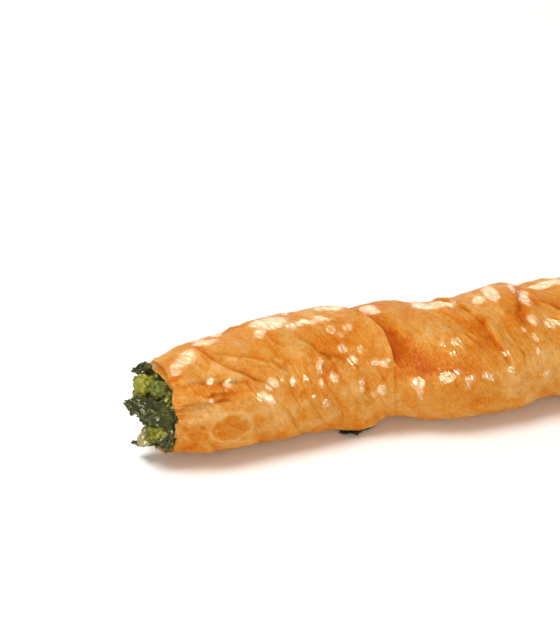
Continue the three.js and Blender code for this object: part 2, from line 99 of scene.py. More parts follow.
# Folds: the path as (turn, along), then the lip on its right and the drop on its left, each as
# (height, width over which it fades).
SEEN_FOLDS = [
    ([(45, 23), (48, 15), (54, 12), (57, 5.6), (60, -3)], (0.5, 3), (0.9, 2.6)),
    ([(165, 1), (102, 10.1), (76, 13.7), (57, 18.9), (44, 24), (30, 30)], (0.5, 3), (0.9, 3.2)),
    ([(100, 11.4), (81, 15.6), (68, 23.2), (56, 30), (36, 36.5)], (0.5, 1.2), (0.3, 1.6)),
    ([(250, 8), (180, 19), (130, 27), (98, 31.6), (66, 35)], (0.5, 4), (0.6, 2.4)),
    ([(74, 41), (60, 46.6), (54, 47.5), (46, 54), (40, 58)], (0.6, 1.6), (0.6, 2)),
    (
        [
            (252, 31), (180, 47), (130, 57.5), (96, 64.1), (82, 67.6), (71, 69.8), (62, 71.5),
            (47, 73), (34, 74),
        ],
        (0.7, 3.2),
        (1.9, 4.4),
    ),
    ([(56, 72.2), (33, 73.6), (2, 73.4), (-24, 74.2), (-62, 76)], (0.1, 3), (0.15, 3.2)),
    (
        [
            (10, 109), (23, 106.8), (43, 104.2), (49, 103), (65, 101.9), (72, 101.2), (90, 98.1),
            (130, 91), (180, 80), (235, 68),
        ],
        (0.5, 3),
        (0.8, 3.4),
    ),
    ([(30, 112), (42, 108), (51, 103.5)], (0.5, 1.4), (0.5, 1.6)),
    ([(72, 89), (60, 94.6), (48, 98.5)], (0.4, 1.3), (0.3, 1.6)),
    (
        [(215, 98), (160, 109), (112, 118), (98, 116), (82, 114.2), (62, 111.5)],
        (0.7, 2.6),
        (1.4, 2.8),
    ),
    ([(106, 119.5), (80, 122.3), (64, 128), (40, 133)], (0.6, 1.6), (0.7, 2.2)),
]

# Folds laid by the twist alone: where each would cross the top, the turns it spans, lip, drop.
FOLD_WANDER = 2.2
FOLD_WANDER_SPAN = 40  # degrees
PLAIN_FOLD_STEPS = 7
PLAIN_FOLDS = [
    (137, 250, -50, (0.7, 3), (1.3, 3.4)),
    (154, 240, -60, (0.7, 3), (1.6, 3.4)),
    (170, 262, 10, (0.6, 3), (1.0, 3.4)),
    (184, 230, -30, (0.6, 3), (1.2, 3.4)),
    (5, 262, 165, (0.6, 3), (0.9, 3.4)),
    (48, 265, 140, (0.5, 3), (0.9, 3.4)),
    (128, 262, 130, (0.5, 3), (0.9, 3.4)),
]

# Thin seams on the sheet, each a path of (turn, along) and a height, below 0 for a groove.
SEAMS = [
    ([(48, 21.9), (57, 19.2), (68, 16.5), (80, 14.4)], 0.35),
    ([(35, 23.2), (38, 18), (40, 11.5), (39, 8.3)], -0.35),
    ([(39, 7.9), (43, 3), (46, -1)], 0.25),
    ([(32, 12.4), (34, 6.1), (36, -1)], 0.25),
    ([(27, 14.5), (26, 10.8), (29, 5), (31, -1)], 0.22),
    ([(58, 31.5), (55, 33), (52, 34.9)], 0.35),
    ([(16, 32.9), (4, 34.6), (-12, 37), (-35, 39.8)], 0.2),
    ([(41, 45.6), (44, 48), (45, 52.1), (45, 56.3)], 0.35),
    ([(43, 55.5), (40, 58.2), (31, 60.6), (27, 62.9)], 0.3),
    ([(37, 64.4), (42, 66.3), (39, 68.7), (35, 70)], 0.3),
    ([(38, 67.3), (32, 68.6), (22, 69.8)], 0.3),
    ([(87, 64.9), (74, 67.2), (66, 69.3)], 0.3),
    ([(34, 72.6), (26, 73)], 0.3),
    ([(0, 60), (-12, 63)], -0.25),
    ([(-19, 64.7), (-32, 68.2)], -0.25),
    ([(69, 82.8), (70, 85.9)], 0.35),
    ([(69, 90.1), (64, 93.1), (60, 94.9)], 0.3),
    ([(61, 96.1), (56, 97.1), (49, 98)], 0.3),
    ([(83, 107.1), (66, 108.9), (50, 111.3), (40, 114.4), (32, 117.5)], 0.3),
    ([(53, 103.5), (44, 106.7), (34, 110.2)], 0.3),
    ([(112, 120.7), (95, 120.8), (78, 121.9)], 0.3),
    ([(34.5, -2), (33, 6), (31.5, 12), (32, 17)], -1.1),
    ([(32.5, -2), (31, 5), (30, 10)], 0.6),
    ([(30.5, -2), (29, 6), (28, 13)], -1.0),
    ([(28, -2), (26.5, 5), (25.5, 11)], -0.9),
    ([(26.2, -2), (25, 5), (24, 9)], 0.6),
    ([(24.4, -2), (23.5, 5), (23, 12)], -0.9),
    ([(20.5, -2), (20, 4), (19.5, 8)], -0.8),
    ([(37, 8.5), (39, 12), (38, 15), (35, 19.5)], -0.5),
    ([(60, 16.5), (56, 17.6), (52, 19), (47, 20)], 0.35),
    ([(57, 17.8), (53, 19.2), (49, 20.6)], 0.3),
    ([(8, 3.6), (9.5, 5.2), (6, 6.6), (3, 6.4)], -0.3),
    ([(0, 1.4), (-5, 2.6), (-3, 4.2), (1, 5.4)], -0.3),
    ([(-2, 3.4), (-7, 4), (-10, 5.2)], 0.3),
    ([(-20, 11.2), (-23, 12.6), (-21, 14.6), (-24, 16)], 0.4),
    ([(-14, 19.4), (-18, 20.6), (-25, 20.8)], 0.4),
    ([(80, 33), (76, 34.2), (72, 35.6)], -0.4),
    ([(47, 32.8), (44, 34), (40, 35.2)], 0.35),
    ([(59, 28.4), (58, 29.8), (55, 31.4)], 0.45),
    ([(72, 23), (70, 24.4), (69, 26)], 0.3),
    ([(44, 45.2), (45, 47.4), (47, 49)], 0.45),
    ([(68, 42), (65, 43.6), (62, 45.2)], 0.35),
    ([(56, 46), (52, 49), (49, 52)], -0.4),
    ([(36, 60.5), (33, 62.2), (29, 64)], 0.4),
    ([(0, 61.8), (-4, 63.4), (-9, 64.6)], -0.35),
    ([(83, 66.4), (80, 67.2), (77, 68)], 0.35),
    ([(84, 71.2), (79, 71.8)], 0.35),
    ([(36, 75.9), (31, 76.6), (26, 77.4)], 0.45),
    ([(44, 75.2), (38, 75.2), (31, 75.6)], -0.35),
    ([(69, 84.4), (69, 87.2)], 0.4),
    ([(69, 91.4), (66, 93.2), (61, 95.4)], 0.45),
    ([(60, 96), (56, 97.4), (52, 98.6)], 0.5),
    ([(37, 102.4), (34, 103.2), (30, 104.2)], 0.35),
    ([(44, 104.8), (42, 106.4), (40, 108.2)], 0.4),
    ([(38, 103.8), (34, 104.8)], 0.35),
    ([(24, 105.4), (20, 106.2), (16, 107)], 0.35),
    ([(73, 100.4), (69, 101.2), (65, 102)], -0.4),
    ([(47, 20), (49, 15.5), (54.5, 11), (59, 6), (63, 0)], 0.4),
]
SEAM_WIDTH = 0.5
SEAM_ENDS = 0.2  # share of the path over which a seam fades, at each end

# Small bumps whose glaze is finely crinkled, where the lights glint: along, turn, reach.
GLINTS = [
    (3, 83, 2.0), (7.5, 93, 2.0), (2, 75, 1.5), (12.5, 108, 2.0), (16.5, 106, 2.0), (11, 54, 0.9),
    (16, 47, 1.1), (10.5, 34, 0.8), (30.5, 88, 1.6), (33, 108, 2.2), (36, 95, 1.6), (41.5, 88, 1.7),
    (46, 91, 1.5), (51, 93, 1.3), (53.5, 113, 1.8), (58, 112, 2.0), (53.5, 76, 1.4), (56.5, 69, 1.1),
    (59.2, 77, 1.5), (56, 56, 1.4), (58.5, 43, 1.5), (61.8, 53, 1.1), (47.2, 45, 1.2), (41.3, 34, 0.9),
    (46.5, 37.5, 1.1), (46.7, 26, 1.2), (51.5, 29.5, 1.5), (36, 33, 1.4), (32, 38, 0.7), (28.2, 36, 1.9),
    (24.5, 27, 1.5), (27, 21, 1.6), (43.6, 15, 0.8), (47.8, 5.5, 1.6), (61, 20, 1.1), (61, 12, 1.1),
    (65, 5.5, 0.8), (67.8, 9.5, 1.8), (66.2, 38, 1.2), (69.2, 36.5, 1.2), (71, 39, 0.8), (69.6, 95, 1.4),
    (67, 107, 1.6), (83.5, 108, 2.4), (89.5, 106, 2.4), (93.5, 104, 2.2), (88.8, 52.5, 0.8), (92, 54, 1.2),
    (91, 43, 0.7), (89.2, 21.5, 1.7), (81.6, 16, 1.9), (82.4, 6, 1.1), (82.8, -1, 0.8), (91.9, 26.5, 0.7),
    (94.6, 17.5, 1.2), (94, 11, 0.8), (98.4, 19, 1.0), (99.8, 16, 1.1), (103, 97, 1.7), (108, 112, 1.6),
    (108.2, 93, 1.5), (116, 107, 1.6), (124, 107, 1.6), (118, 82.5, 1.6), (117.4, 62, 1.9), (122.2, 55, 1.7),
    (113, 53, 1.0), (116.2, 44, 1.1), (116.5, 31, 1.0), (125, 54, 0.9), (131, 105, 2.0), (105, 35, 0.9),
    (106.3, 20, 1.2), (118.5, 8, 1.2),
]
GLINT_HEIGHT = 0.38
GLINT_GLAZE_REACH = 1.15  # how far the crinkled glaze reaches, in reaches of the bump

# The bumps drawn for the rest of the roll, and where the part that the photograph shows ends.
GLINT_SEED = 11
GLINT_DRAWS = 150
GLINT_MARGIN = 4
GLINT_TURNS = (-45, 255)
GLINT_REACH = (0.8, 2.2)
SEEN_ALONG = 128
SEEN_TURN = 115

# Wider stretches of crinkled glaze along the top: along, turn, reach along, reach round.
GLAZED = [
    (6, 86, 4, 10), (15, 107, 3.5, 9), (36, 103, 6.5, 16), (48, 90, 8, 4), (56.5, 114, 5.5, 8),
    (68, 101, 3, 11), (88, 105, 8, 9), (103, 97, 2, 5), (108, 102, 2.5, 12), (117, 96, 3, 15),
    (127, 105, 4.5, 8), (150, 95, 8, 12), (168, 104, 6, 14), (186, 88, 5, 12),
]
GLAZED_SHARE = 0.75
GATHERED_CRINKLE = 0.18  # how crinkled the glaze is where the sheet is gathered

# How far each mouth's edge stands out, as (turn, distance).
MOUTH_EDGES = {
    "left": [
        (0, 0.3), (30, 0.4), (60, 0), (85, 0.4), (112, 2.2), (140, 0.8), (190, -0.9), (240, 0.7),
        (275, 2.2), (315, 0.8), (360, 0.3),
    ],
    "right": [
        (0, -0.3), (50, 1.0), (95, -0.8), (150, 0.6), (200, 1.6), (250, -0.4), (310, 0.7), (360, -0.3),
    ],
}

# Relief laid along the twist: (height, width, length, seed).
WRINKLES = (0.28, 7, 9, 7)
UNEVENNESS = (0.55, 11, 11, 40)
FINE_WRINKLES = (0.15, 2.6, 3.6, 90)
GATHERS = (0.9, 13, 19, 61)  # where the sheet is gathered into fine wrinkles
FOLD_GATHER_SHARE = 0.6  # how gathered it is beside a fold

# Unevenness the same in every direction: (height, size, seed).
DIMPLES = [(0.22, 4.6, 130), (0.14, 2.1, 140)]
BEADS = (0.15, 1.4, 410)  # of glaze, where it is crinkled
FOLD_WAVER = (0.5, 3.5, 500)
BLISTER_WAVER = [(0.07, 2.6, 330), (0.04, 1.1, 340)]
TORN_EDGE = [(0.35, 3.4, 700), (0.22, 1.3, 720)]
PATCH_RAGGED_ALONG = (1.6, 3.2, 300)
PATCH_RAGGED_ROUND = (5, 3.2, 320)

# What runs along a fold: the ridge of the lip, painted pale as a highlight, the line beneath it,
# painted dark as shade, and the pleats and gathers of the sheet on top, in mm from the edge, with
# the drop above 0: (middle, width).
FOLD_RIDGE = (-0.6, 0.5)
FOLD_SHADE_LINE = (0.6, 0.5)
FOLD_PLEATS = (-3.5, 3.2)
FOLD_GATHERS = (-3, 3.5)
FOLD_STEP = 0.4  # half the way over which the lip gives way to the drop
FOLD_ENDS = 0.16  # share of the path over which a fold fades, at each end
RIDGE_HEIGHT = 0.2
PLEAT_WIDTH = 0.9
PLEAT_WAVES = 5  # along a whole fold
PLEAT_SEED = 40

# How much of the relief is left at the edge of a mouth.
MOUTH_RELIEF_SHARE = 0.5
MOUTH_SMALL_SHARE = 0.6

# Creases between the pillows of the sheet: (depth, width, length, share of a cell, seed).
CREASES = [(0.34, 11, 8, 0.13, 400), (0.2, 6, 4.5, 0.2, 430)]
CREASE_BEND_ALONG = 1.5
CREASE_BEND_ROUND = 5
CREASE_BEND_SIZE = 6
CREASE_LEVEL = 0.6
CREASE_CONTRAST = 0.9

# The tone of the baked sheet, pale below 0 and browned above: on its own, and what relief adds, which
# is painted light: highlight on raised seams and crests, shade in grooves and creases, with some
# browning in the hollows too.
BASE_TONE = -0.2
TONE_MOTTLE = [(0.35, 8, 200), (0.3, 3.4, 230)]  # height, size, seed
TONE_STREAKS = (0.3, 5, 12, 240)  # height, width, length, seed
# The folds paint shade on the drop and in a line beneath the lip, and a highlight on the ridge and its
# pleats.
PAINTED_SHADE_BELOW_LIP = 0.75
PAINTED_SHADE_LINE_TONE = 0.45
PAINTED_RIDGE_HIGHLIGHT = -0.3
SEAM_PAINTED_LIGHT_AND_SHADE = -1.3
CREASE_BROWNING_AND_PAINTED_SHADE = -1.5
RELIEF_PAINTED_HIGHLIGHT_AND_BROWNING = -0.4

# Places where the sheet is browned or pale: along, turn, reach along, reach round, tone. The pale
# ones along the top, at turns 88 to 104, are painted highlight.
TONES = [
    (74.3, 64, 1.6, 7, 0.4), (84, 40, 7, 10, 0.35),
    (99, 60, 4, 12, 0.4), (92, 32, 9, 14, 0.3), (101.3, 69, 1.4, 5, 0.7), (119, 93, 1.2, 5, 0.8),
    (122, 88, 1.2, 4, 0.7), (61, 45, 7, 14, 0.4), (50, 60, 6, 12, 0.3), (50, 40, 5, 6, 0.4),
    (36.5, 50, 2.5, 6, 0.6), (22.5, 45, 2.2, 3.5, 0.6), (22.8, 38, 1.2, 3, 0.6), (120, 75, 3, 18, 0.5),
    (1.5, 67, 2, 5, 1.3), (14, 37.5, 5.5, 2.6, 0.6), (3.5, -28, 5, 12, 0.5), (38, -6, 2.6, 5, 0.5),
    (34.3, -20, 1.4, 4, 0.5), (61, -34, 5.5, 7, 0.6), (57, -18, 4, 6, 0.2), (67, 27, 0.5, 1.6, 1.4),
    (91.5, 12, 0.5, 1.8, 1.0), (6.5, 5, 0.5, 1.6, 0.9), (17.6, 6, 1.1, 4, 0.35), (86, 18, 5, 9, 0.25),
    (98, -8, 6, 12, 0.2), (110, 33, 1.6, 8, 0.4), (104, 52, 4, 8, 0.5), (111, 70, 3, 14, 0.3),
    (6, 20, 5, 9, -0.5), (5, 10, 3, 6, -0.3), (21, 13, 4, 8, -0.6), (26, 3, 5, 12, -0.6),
    (24, -14, 3.5, 8, -0.5), (20, 27, 5, 5, -0.3), (8, 24, 9, 12, -0.35), (98, 40, 14, 26, 0.25),
    (10, 42, 9, 10, 0.3), (48, -12, 7, 12, -0.7), (41, 10, 3.5, 7, -0.6), (57, 12, 4, 9, -0.7),
    (62, 0, 5, 8, -0.4), (108, -2, 8, 14, -0.5), (104, 14, 3, 9, -0.5), (116, 20, 6, 14, -0.4),
    (124, 5, 8, 20, -0.4), (84, 60, 3, 5, -0.4), (10, 88, 8, 10, -0.3), (47, 100, 14, 14, -0.3),
    (88, 104, 9, 9, -0.4), (105, 101, 6, 9, -0.3), (129, 40, 5, 14, 0.4), (128, 68, 4, 12, 0.5),
]
TONE_STEEPNESS = 3  # of the edge of such a place

# Deep orange places with straight sides, partly browning and partly painted shade in the hollow
# beside a fold: the corners in order as (turn, along), tone, width of the edge.
BROWNED_AND_SHADED_PATCHES = [([(24, 74), (26, 91), (48, 82.5), (73, 71.5)], 1.35, 6)]

# Places where the sheet lies smooth: along, turn, reach along, reach round.
CALM = [
    (80, 56, 11, 28), (45, 68, 9, 11), (6, 72, 4, 8), (8, 24, 13, 16), (27, 78, 6, 8),
    (103, 62, 3, 9), (88, -5, 9, 14),
]
CALM_SHARE = 0.85  # how much of the small relief they lose

# Blisters where the sheet has come away, each with a clear edge: along, turn, reach along, reach
# round, tone inside, tone of the rim round it, height.
BLISTERS = [
    (14.9, 0, 5.0, 15.5, 0.22, -1.15, 0.25),
    (39, 17, 1.5, 8, 0.45, -0.5, 0.15),
    (63.5, -3, 2.2, 7, 0.1, -0.5, 0.15),
    (5.2, -6, 3.2, 8, 0.2, -0.5, 0.2),
    (155, 40, 5, 14, 0.5, -0.7, 0.3),
    (170, 10, 4, 12, 0.4, -0.6, 0.2),
    (40, 190, 5, 15, 0.5, -0.7, 0.3),
    (110, 170, 4, 12, 0.4, -0.6, 0.2),
]

# A blister's edge, and the bands of its rim and its raised lip, in reaches from its middle.
BLISTER_EDGE = 1.04
BLISTER_EDGE_WIDTH = 0.08
BLISTER_RIM = (1.16, 0.13)
BLISTER_LIP = (1.08, 0.1)
BLISTER_FILL = 0.5  # its height inside, as a share of the lip's

# The grid of the pastry: steps round it and along it, and how often the rows wind round.
ROUND_STEPS = 256
OUTER_STEPS = 350
OUTER_TURNS = 3
CROWDING = 0.035  # how much closer the rows lie near the mouths
SHEET_STRETCH = 0.65  # below 1 draws the finest wrinkles out round the roll

# The rim of a mouth: thin layers of sheet with gaps between them.
RIM_LAYERS = 3
RIM_SEEDS = {"left": 8, "right": 3}
RIM_TEAR = [(0.8, 4.5), (0.4, 1.6)]  # height, size
RIM_LAYER_SHIFT = 5  # sets the tears of one layer apart from the next one's
RIM_OUT = 0.15
RIM_SETBACK = 0.25
RIM_GAP_DEPTH = 1.1
RIM_LAYER_SHARE = 0.8  # of the room for a layer, the rest being the gap
RIM_TOP_CUT = 0.08
RIM_GAP_CUT = 0.04
# The gaps between the layers are given deep orange: painted shade.
RIM_TONES_WITH_GAP_SHADE = (-0.3, -0.2, 1.0)  # at the top of a layer, at its base and in a gap
RIM_CRINKLE = 0.3
INNER_TONGUE = (88, 2.4, 24)  # where the inner layers stand further out: turn, distance, reach
LOWER_LIP = (-74, 1.6, 16)  # where the whole edge does
BORE_STATIONS = [2, 4, 7, 13, 30, 48, 66, 82, 98, 114, 132, 150, 168, 183, 189, 192, 194]
# The inside of the tube is given a deeper orange than the outside: painted shade.
BORE_PAINTED_SHADE = 0.6

# The plug of filling beyond a mouth: (distance out of the mouth, radius).
PLUG_PROFILE = [(1.5, 13.4), (3.2, 12.4), (4.8, 10.2), (6, 6.4)]
PLUG_TIP = 6.8
PLUG_ROUGHNESS = 0.8
PLUG_SWELL_SIZE = 6
PLUG_STATIONS = 34
TUBE_STATIONS = 60
CORE_SIDES = 200
CORE_ROUGH_OVER = 0.8  # the way over which the filling turns rough at a mouth
CRUMB_LEVEL = 0.3
CORE_CRUMBS = [(0.9, 1 / 2.6), (0.6, 1 / 1.2)]  # height, waves to the mm
CORE_CRUMB_SHARE = 1.2
CORE_GREENS = (0.12, 0.5, 0.3)  # the darkest, and what patches and the tops of crumbs add
CORE_GREEN_SIZE = 3.4
CORE_TIP_GREEN = 0.2

# Pieces of spinach at a mouth. The first three of each are (out of the mouth, towards the front, up):
# where the piece's middle is, which way its length points, which way its broad side looks. Then come
# length, width, bend in degrees, cup and green, which is 0 for the darkest leaf, 1 for yellow-green.
LEAVES = [
    ((6.9, 8.3, 5.8), (12.7, -9.1, 2.8), (5, 7.6, 4.4), 17.5, 9, 30, 1.0, 0.04),
    ((5.3, 9.8, 3.0), (8, -6.5, -3), (5, 8, 3), 12.5, 7.5, 40, -0.8, 0.25),
    ((5, 8.4, -4), (9, 2, 2), (3, 8, -2), 10, 7.5, 35, 0.9, 0.72),
    ((6.8, 3.4, -10.9), (10, -2, 0), (0, 2, -9), 11, 4.4, -20, 0.4, 0.2),
    ((5, -5, 12), (6, -4, -3), (3, -1, 9), 10, 5, -40, 0.8, 0.05),
    ((4.4, -8.4, -2.4), (2, 3, -8), (7, -8, 0), 11, 8, -45, -1, 0.35),
    ((6.8, -2, -3.4), (2, 6, 7), (9, 2, -1), 11, 8, 55, 1, 0.15),
    ((3.8, -6, -9.4), (3, -6, -4), (4, -5, -8), 9, 7, 30, 0.7, 0.3),
    ((4.6, -7.4, 6), (3, -5, 6), (6, -5, 6), 10, 8, 60, 1, 0.2),
    ((3.2, 10.8, -4.4), (3, 1, -8), (5, 9, -3), 7, 6.5, 50, 0.8, 0.02),
    ((4.2, 5, -10.2), (5, 7, 1), (2, 2, -9), 6, 3.8, 20, -0.3, 0.5),
    ((7, 1.8, 4.6), (3, -7, 6), (9, 3, 1), 10, 7.5, -50, 0.8, 0.45),
]
LEAF_STEPS = (40, 24)
LEAF_SEED = 10

# The lumps: middle, which way the length points, (half length, half width), green, flakes on it.
LUMPS = [
    ((7.6, 2, 11.4), (2, 1, 6), (3.4, 2.9), 0.76, 6),
    ((8.3, 5.2, -6.8), (3, -1, -7), (4.0, 2.3), 0.85, 0),
    ((6.6, -4.4, 1.4), (5, -3, -2), (3.4, 2.3), 0.8, 26),
    ((3.8, 5.8, 11.2), (3, 2, 4), (3.6, 2.6), 0.55, 12),
    ((8.6, 3.4, 7.4), (5, -1, 3), (2.4, 1.6), 0.7, 20),
    ((5.2, 9.6, -1.6), (3, -1.5, -1), (3.8, 2.5), 0.68, 8),
]
STEM_LUMP = 1
LUMP_SEED = 50
MOUTHS = {
    "left": dict(turned=0, scale=1, leaf_count=12, lump_count=6, bit_count=330),
    "right": dict(turned=160, scale=0.95, leaf_count=9, lump_count=3, bit_count=260),
}

# A lump's relief on a ball of radius 1: height and waves across it.
LUMP_SWELLS = (0.22, 2)
LUMP_CRUMBS = [(0.3, 2.7), (0.16, 6)]
LUMP_GRAIN = (0.07, 13)

# A leaf's outline, its crumples and its veins, as shares of its width or length where not in mm.
LEAF_TIP_POWER = 0.8
LEAF_SIDE_POWER = 0.7
LEAF_NARROWEST = 0.14
LEAF_LOBES = 0.35
LEAF_LOBE_WAVES = 3.1
LEAF_RAGGED = [(0.2, 0.7), (0.12, 1.9)]  # share, waves to the mm
LEAF_TEAR = 0.05
LEAF_TEAR_WAVES = 2.2
LEAF_WAVE = 0.1
LEAF_FOLD_WAVES = 0.45
LEAF_CRUMPLES = [(0.5, 1.1), (0.35, 2.3)]  # share, waves to the mm
LEAF_THINNING = 0.6
SIDE_VEINS = 5
SIDE_VEIN_SLANT = 1.2
SIDE_VEIN_SHARE = 0.6
SIDE_VEIN_SHARPNESS = 4
MIDRIB_WIDTH = 0.1
VEIN_DEPTH = 0.12

# The bits pressed into the dome at a mouth, drawn by a seed: how far out, how deep in and how tilted.
FILLING_SEED = 5
LEAST_OUT = 0.2
LOWEST_BIT = -9.8
BIT_MARGIN = 0.7
BIT_DEPTHS = (0.93, 1.02)
BIT_LIFT = 0.3
BIT_FACING = 1.4
BIT_TILT = 3
BIT_GREENS = [0.02, 0.12, 0.25, 0.5, 0.8]
BIT_GREEN_SHARES = [0.3, 0.25, 0.2, 0.15, 0.1]
SMALL_LEAF_WIDTHS = (0.5, 0.9)  # shares of the length
BIT_LEAF = dict(lengths=(1.6, 4), bends=(25, 80), cup=0.5, steps=(9, 6), thickness=0.35)
FLAKE = dict(lengths=(1.2, 2.6), bends=(30, 90), cup=0.4, steps=(8, 6), thickness=0.3)
STEM_SHARE = 0.08  # of the bits
PULP_SHARE = 0.3  # of the bits, with the stems
STEM_BIT_GREEN = 0.8
STEM_BIT_SIZES = [(1.2, 2.6), (0.35, 0.6)]  # half lengths, half widths
PULP_BIT_SIZES = [(0.7, 1.7), (0.5, 1.1)]
PULP_BIT_GREENS = (0.45, 0.95)
BARE_SECTOR = (-15, 52)  # turns between which the big leaves lie, with few bits on them
BARE_FROM = 1.2  # how far out of the mouth it starts
BARE_SHARE = 0.12  # of the bits, which stay on it
FLAKE_TILT = 0.35
FLAKE_DARKENING = 0.35

# The scrap of leaf under the front of the roll.
SCRAP_ALONG = 61.0
SCRAP_FRONT = 12.2
SCRAP_LIFT = 0.02
SCRAP_GREEN = 0.05
SCRAP_SHAPE = dict(length=11, width=5.4, bend=6, cup=0.15, seed=31, steps=(26, 14), crumple=0.2)

# ---------------------------------------------------------------- small tools


def clamp01(t):
    return np.clip(t, 0, 1)


def smooth(t):
    t = clamp01(t)
    return t * t * (3 - 2 * t)


def bell(t):
    return np.exp(-t * t)


def band(distance, middle, width):
    """1 in the middle of a band, fading to 0 on both sides."""
    return bell((distance - middle) / width)


def fade_ends(share, part):
    """1 along a path, falling to 0 over a part of it at each end."""
    return smooth(share / part) * smooth((1 - share) / part)


def signed_turn(d):
    return d - 360 * np.floor((d + 180) / 360)


def full_turn(d):
    return d - 360 * np.floor(d / 360)


def curve_through(points):
    """A smooth curve through (x, y) points, held level beyond them."""
    xs, ys = np.array(points, float).T
    before = np.maximum(np.arange(len(xs)) - 1, 0)
    after = np.minimum(np.arange(len(xs)) + 1, len(xs) - 1)
    slopes = (ys[after] - ys[before]) / (xs[after] - xs[before])

    def curve(x):
        i = np.searchsorted(xs[1:-1], x, side="left")
        width = xs[i + 1] - xs[i]
        t = clamp01((x - xs[i]) / width)
        rise = t * t * (3 - 2 * t)
        bend = width * slopes[i] * t * (1 - t) ** 2 - width * slopes[i + 1] * t * t * (1 - t)
        return ys[i] * (1 - rise) + ys[i + 1] * rise + bend

    return curve


# A hash that spreads whole numbers over 32 bits: a factor for each axis, then (shift, factor).
HASH_FACTORS = (374761393, 668265263, 1440662683)
HASH_ROUNDS = [(13, 1274126177), (15, 2246822519)]
HASH_LAST_SHIFT = 16
HASH_HALF_RANGE = (2**32 - 1) / 2


def lattice_value(x, y, z):
    """A fixed value from -1 to 1 for each whole-numbered lattice point."""
    h = np.uint32(0)
    for v, factor in zip((x, y, z), HASH_FACTORS):
        h = h ^ np.asarray(v).astype(np.int64).astype(np.uint32) * np.uint32(factor)
    for shift, factor in HASH_ROUNDS:
        h = (h ^ (h >> np.uint32(shift))) * np.uint32(factor)
    return (h ^ (h >> np.uint32(HASH_LAST_SHIFT))).astype(float) / HASH_HALF_RANGE - 1


def noise(x, y, z):
    """Smooth noise from -1 to 1 between the lattice points."""
    x, y, z = np.broadcast_arrays(*(np.asarray(v, float) for v in (x, y, z)))
    cells = [np.floor(v) for v in (x, y, z)]
    parts = [smooth(v - c) for v, c in zip((x, y, z), cells)]
    total = np.zeros(x.shape)
    for corner in np.ndindex(2, 2, 2):
        weight = np.ones(x.shape)
        for step, part in zip(corner, parts):
            weight = weight * (part if step else 1 - part)
        total += weight * lattice_value(*(c + step for c, step in zip(cells, corner)))
    return total


def crumbs(points, layers, shift=0):
    """Relief of rounded crumbs with sharp valleys between them, in layers of (height, waves)."""
    relief = np.zeros(len(points))
    for height, waves in layers:
        x, y, z = points.T * waves
        relief += height * (CRUMB_LEVEL - np.abs(noise(x, y + shift, z)))
    return relief


# ---------------------------------------------------------------- the roll's form

centre_offset = curve_through(CENTRE_DRIFT)
body_radius = curve_through(BODY_RADII)
edge_of = {side: curve_through(points) for side, points in MOUTH_EDGES.items()}


def headings(along):
    """Level directions: down the roll, and out towards the front."""
    step = 0.5
    slope = (centre_offset(along + step) - centre_offset(along - step)) / (2 * step)
    length = np.hypot(1, slope)
    level = np.zeros_like(length)
    down = np.stack([1 / length, slope / length, level], -1)
    front = np.stack([slope / length, -1 / length, level], -1)
    return down, front


def centre_point(along):
    along = np.asarray(along, float)
    offset = centre_offset(along) - ORIGIN_OFFSET
    return np.stack([along - ORIGIN_ALONG, offset, np.full_like(along, CENTRE_HEIGHT)], -1)


def place(along, turn, radius):
    """Points at a distance from the centre line."""
    along = np.asarray(along, float)
    angle = np.radians(turn)
    _, front = headings(along)
    around = front * np.cos(angle)[..., None] + UP * np.sin(angle)[..., None]
    return centre_point(along) + around * np.asarray(radius)[..., None]


def twisted_noise(along, turn, width, length, seed):
    """Noise laid out along the twist, so that what it makes runs the way the sheet is wound."""
    angle = np.radians(turn) + 2 * math.pi * along / TWIST_PITCH
    return noise(
        MEAN_RADIUS * np.cos(angle) / width + seed,
        MEAN_RADIUS * np.sin(angle) / width + seed,
        along / length,
    )


def surface_noise(along, turn, size, seed):
    """Noise of one size in every direction on the roll's surface."""
    angle = np.radians(turn)
    x, y = (MEAN_RADIUS * ratio / size + seed for ratio in (np.cos(angle), np.sin(angle)))
    return noise(x, y, along / size)


def rough(along, turn, *layers):
    """Unevenness the same in every direction, summed from layers of (height, size, seed)."""
    return sum(height * surface_noise(along, turn, size, seed) for height, size, seed in layers)


def apart(along, turn, at, toward, reach, spread):
    """How far places are from the middle of an oval, where 1 is its edge."""
    return np.hypot((along - at) / reach, signed_turn(turn - toward) / spread)


def plain_fold_path(crossing, start, end):
    turns = start + (end - start) * np.arange(PLAIN_FOLD_STEPS + 1) / PLAIN_FOLD_STEPS
    wander = FOLD_WANDER * noise(crossing, turns / FOLD_WANDER_SPAN, 0)
    alongs = crossing + (90 - turns) / 360 * TWIST_PITCH + wander
    return list(zip(turns, alongs))


FOLDS = SEEN_FOLDS + [
    (plain_fold_path(crossing, start, end), lip, drop)
    for crossing, start, end, lip, drop in PLAIN_FOLDS
]


def measure_path(path, along, turn):
    """Signed distance from a path, positive on its left, and how far down the path that is."""
    middle = (path[0][0] + path[-1][0]) / 2
    around = np.radians(middle + signed_turn(turn - middle)) * MEAN_RADIUS
    points = [(a, math.radians(t) * MEAN_RADIUS) for t, a in path]
    nearest = np.full(np.shape(along), np.inf)
    share = np.zeros(np.shape(along))
    for i, ((ax, ay), (bx, by)) in enumerate(zip(points, points[1:])):
        dx, dy = bx - ax, by - ay
        t = clamp01(((along - ax) * dx + (around - ay) * dy) / (dx * dx + dy * dy))
        rx, ry = along - ax - t * dx, around - ay - t * dy
        distance = np.hypot(rx, ry)
        closer = distance < np.abs(nearest)
        side = np.where(dx * ry - dy * rx < 0, -1.0, 1.0)
        nearest = np.where(closer, distance * side, nearest)
        share = np.where(closer, (i + t) / (len(points) - 1), share)
    return nearest, share


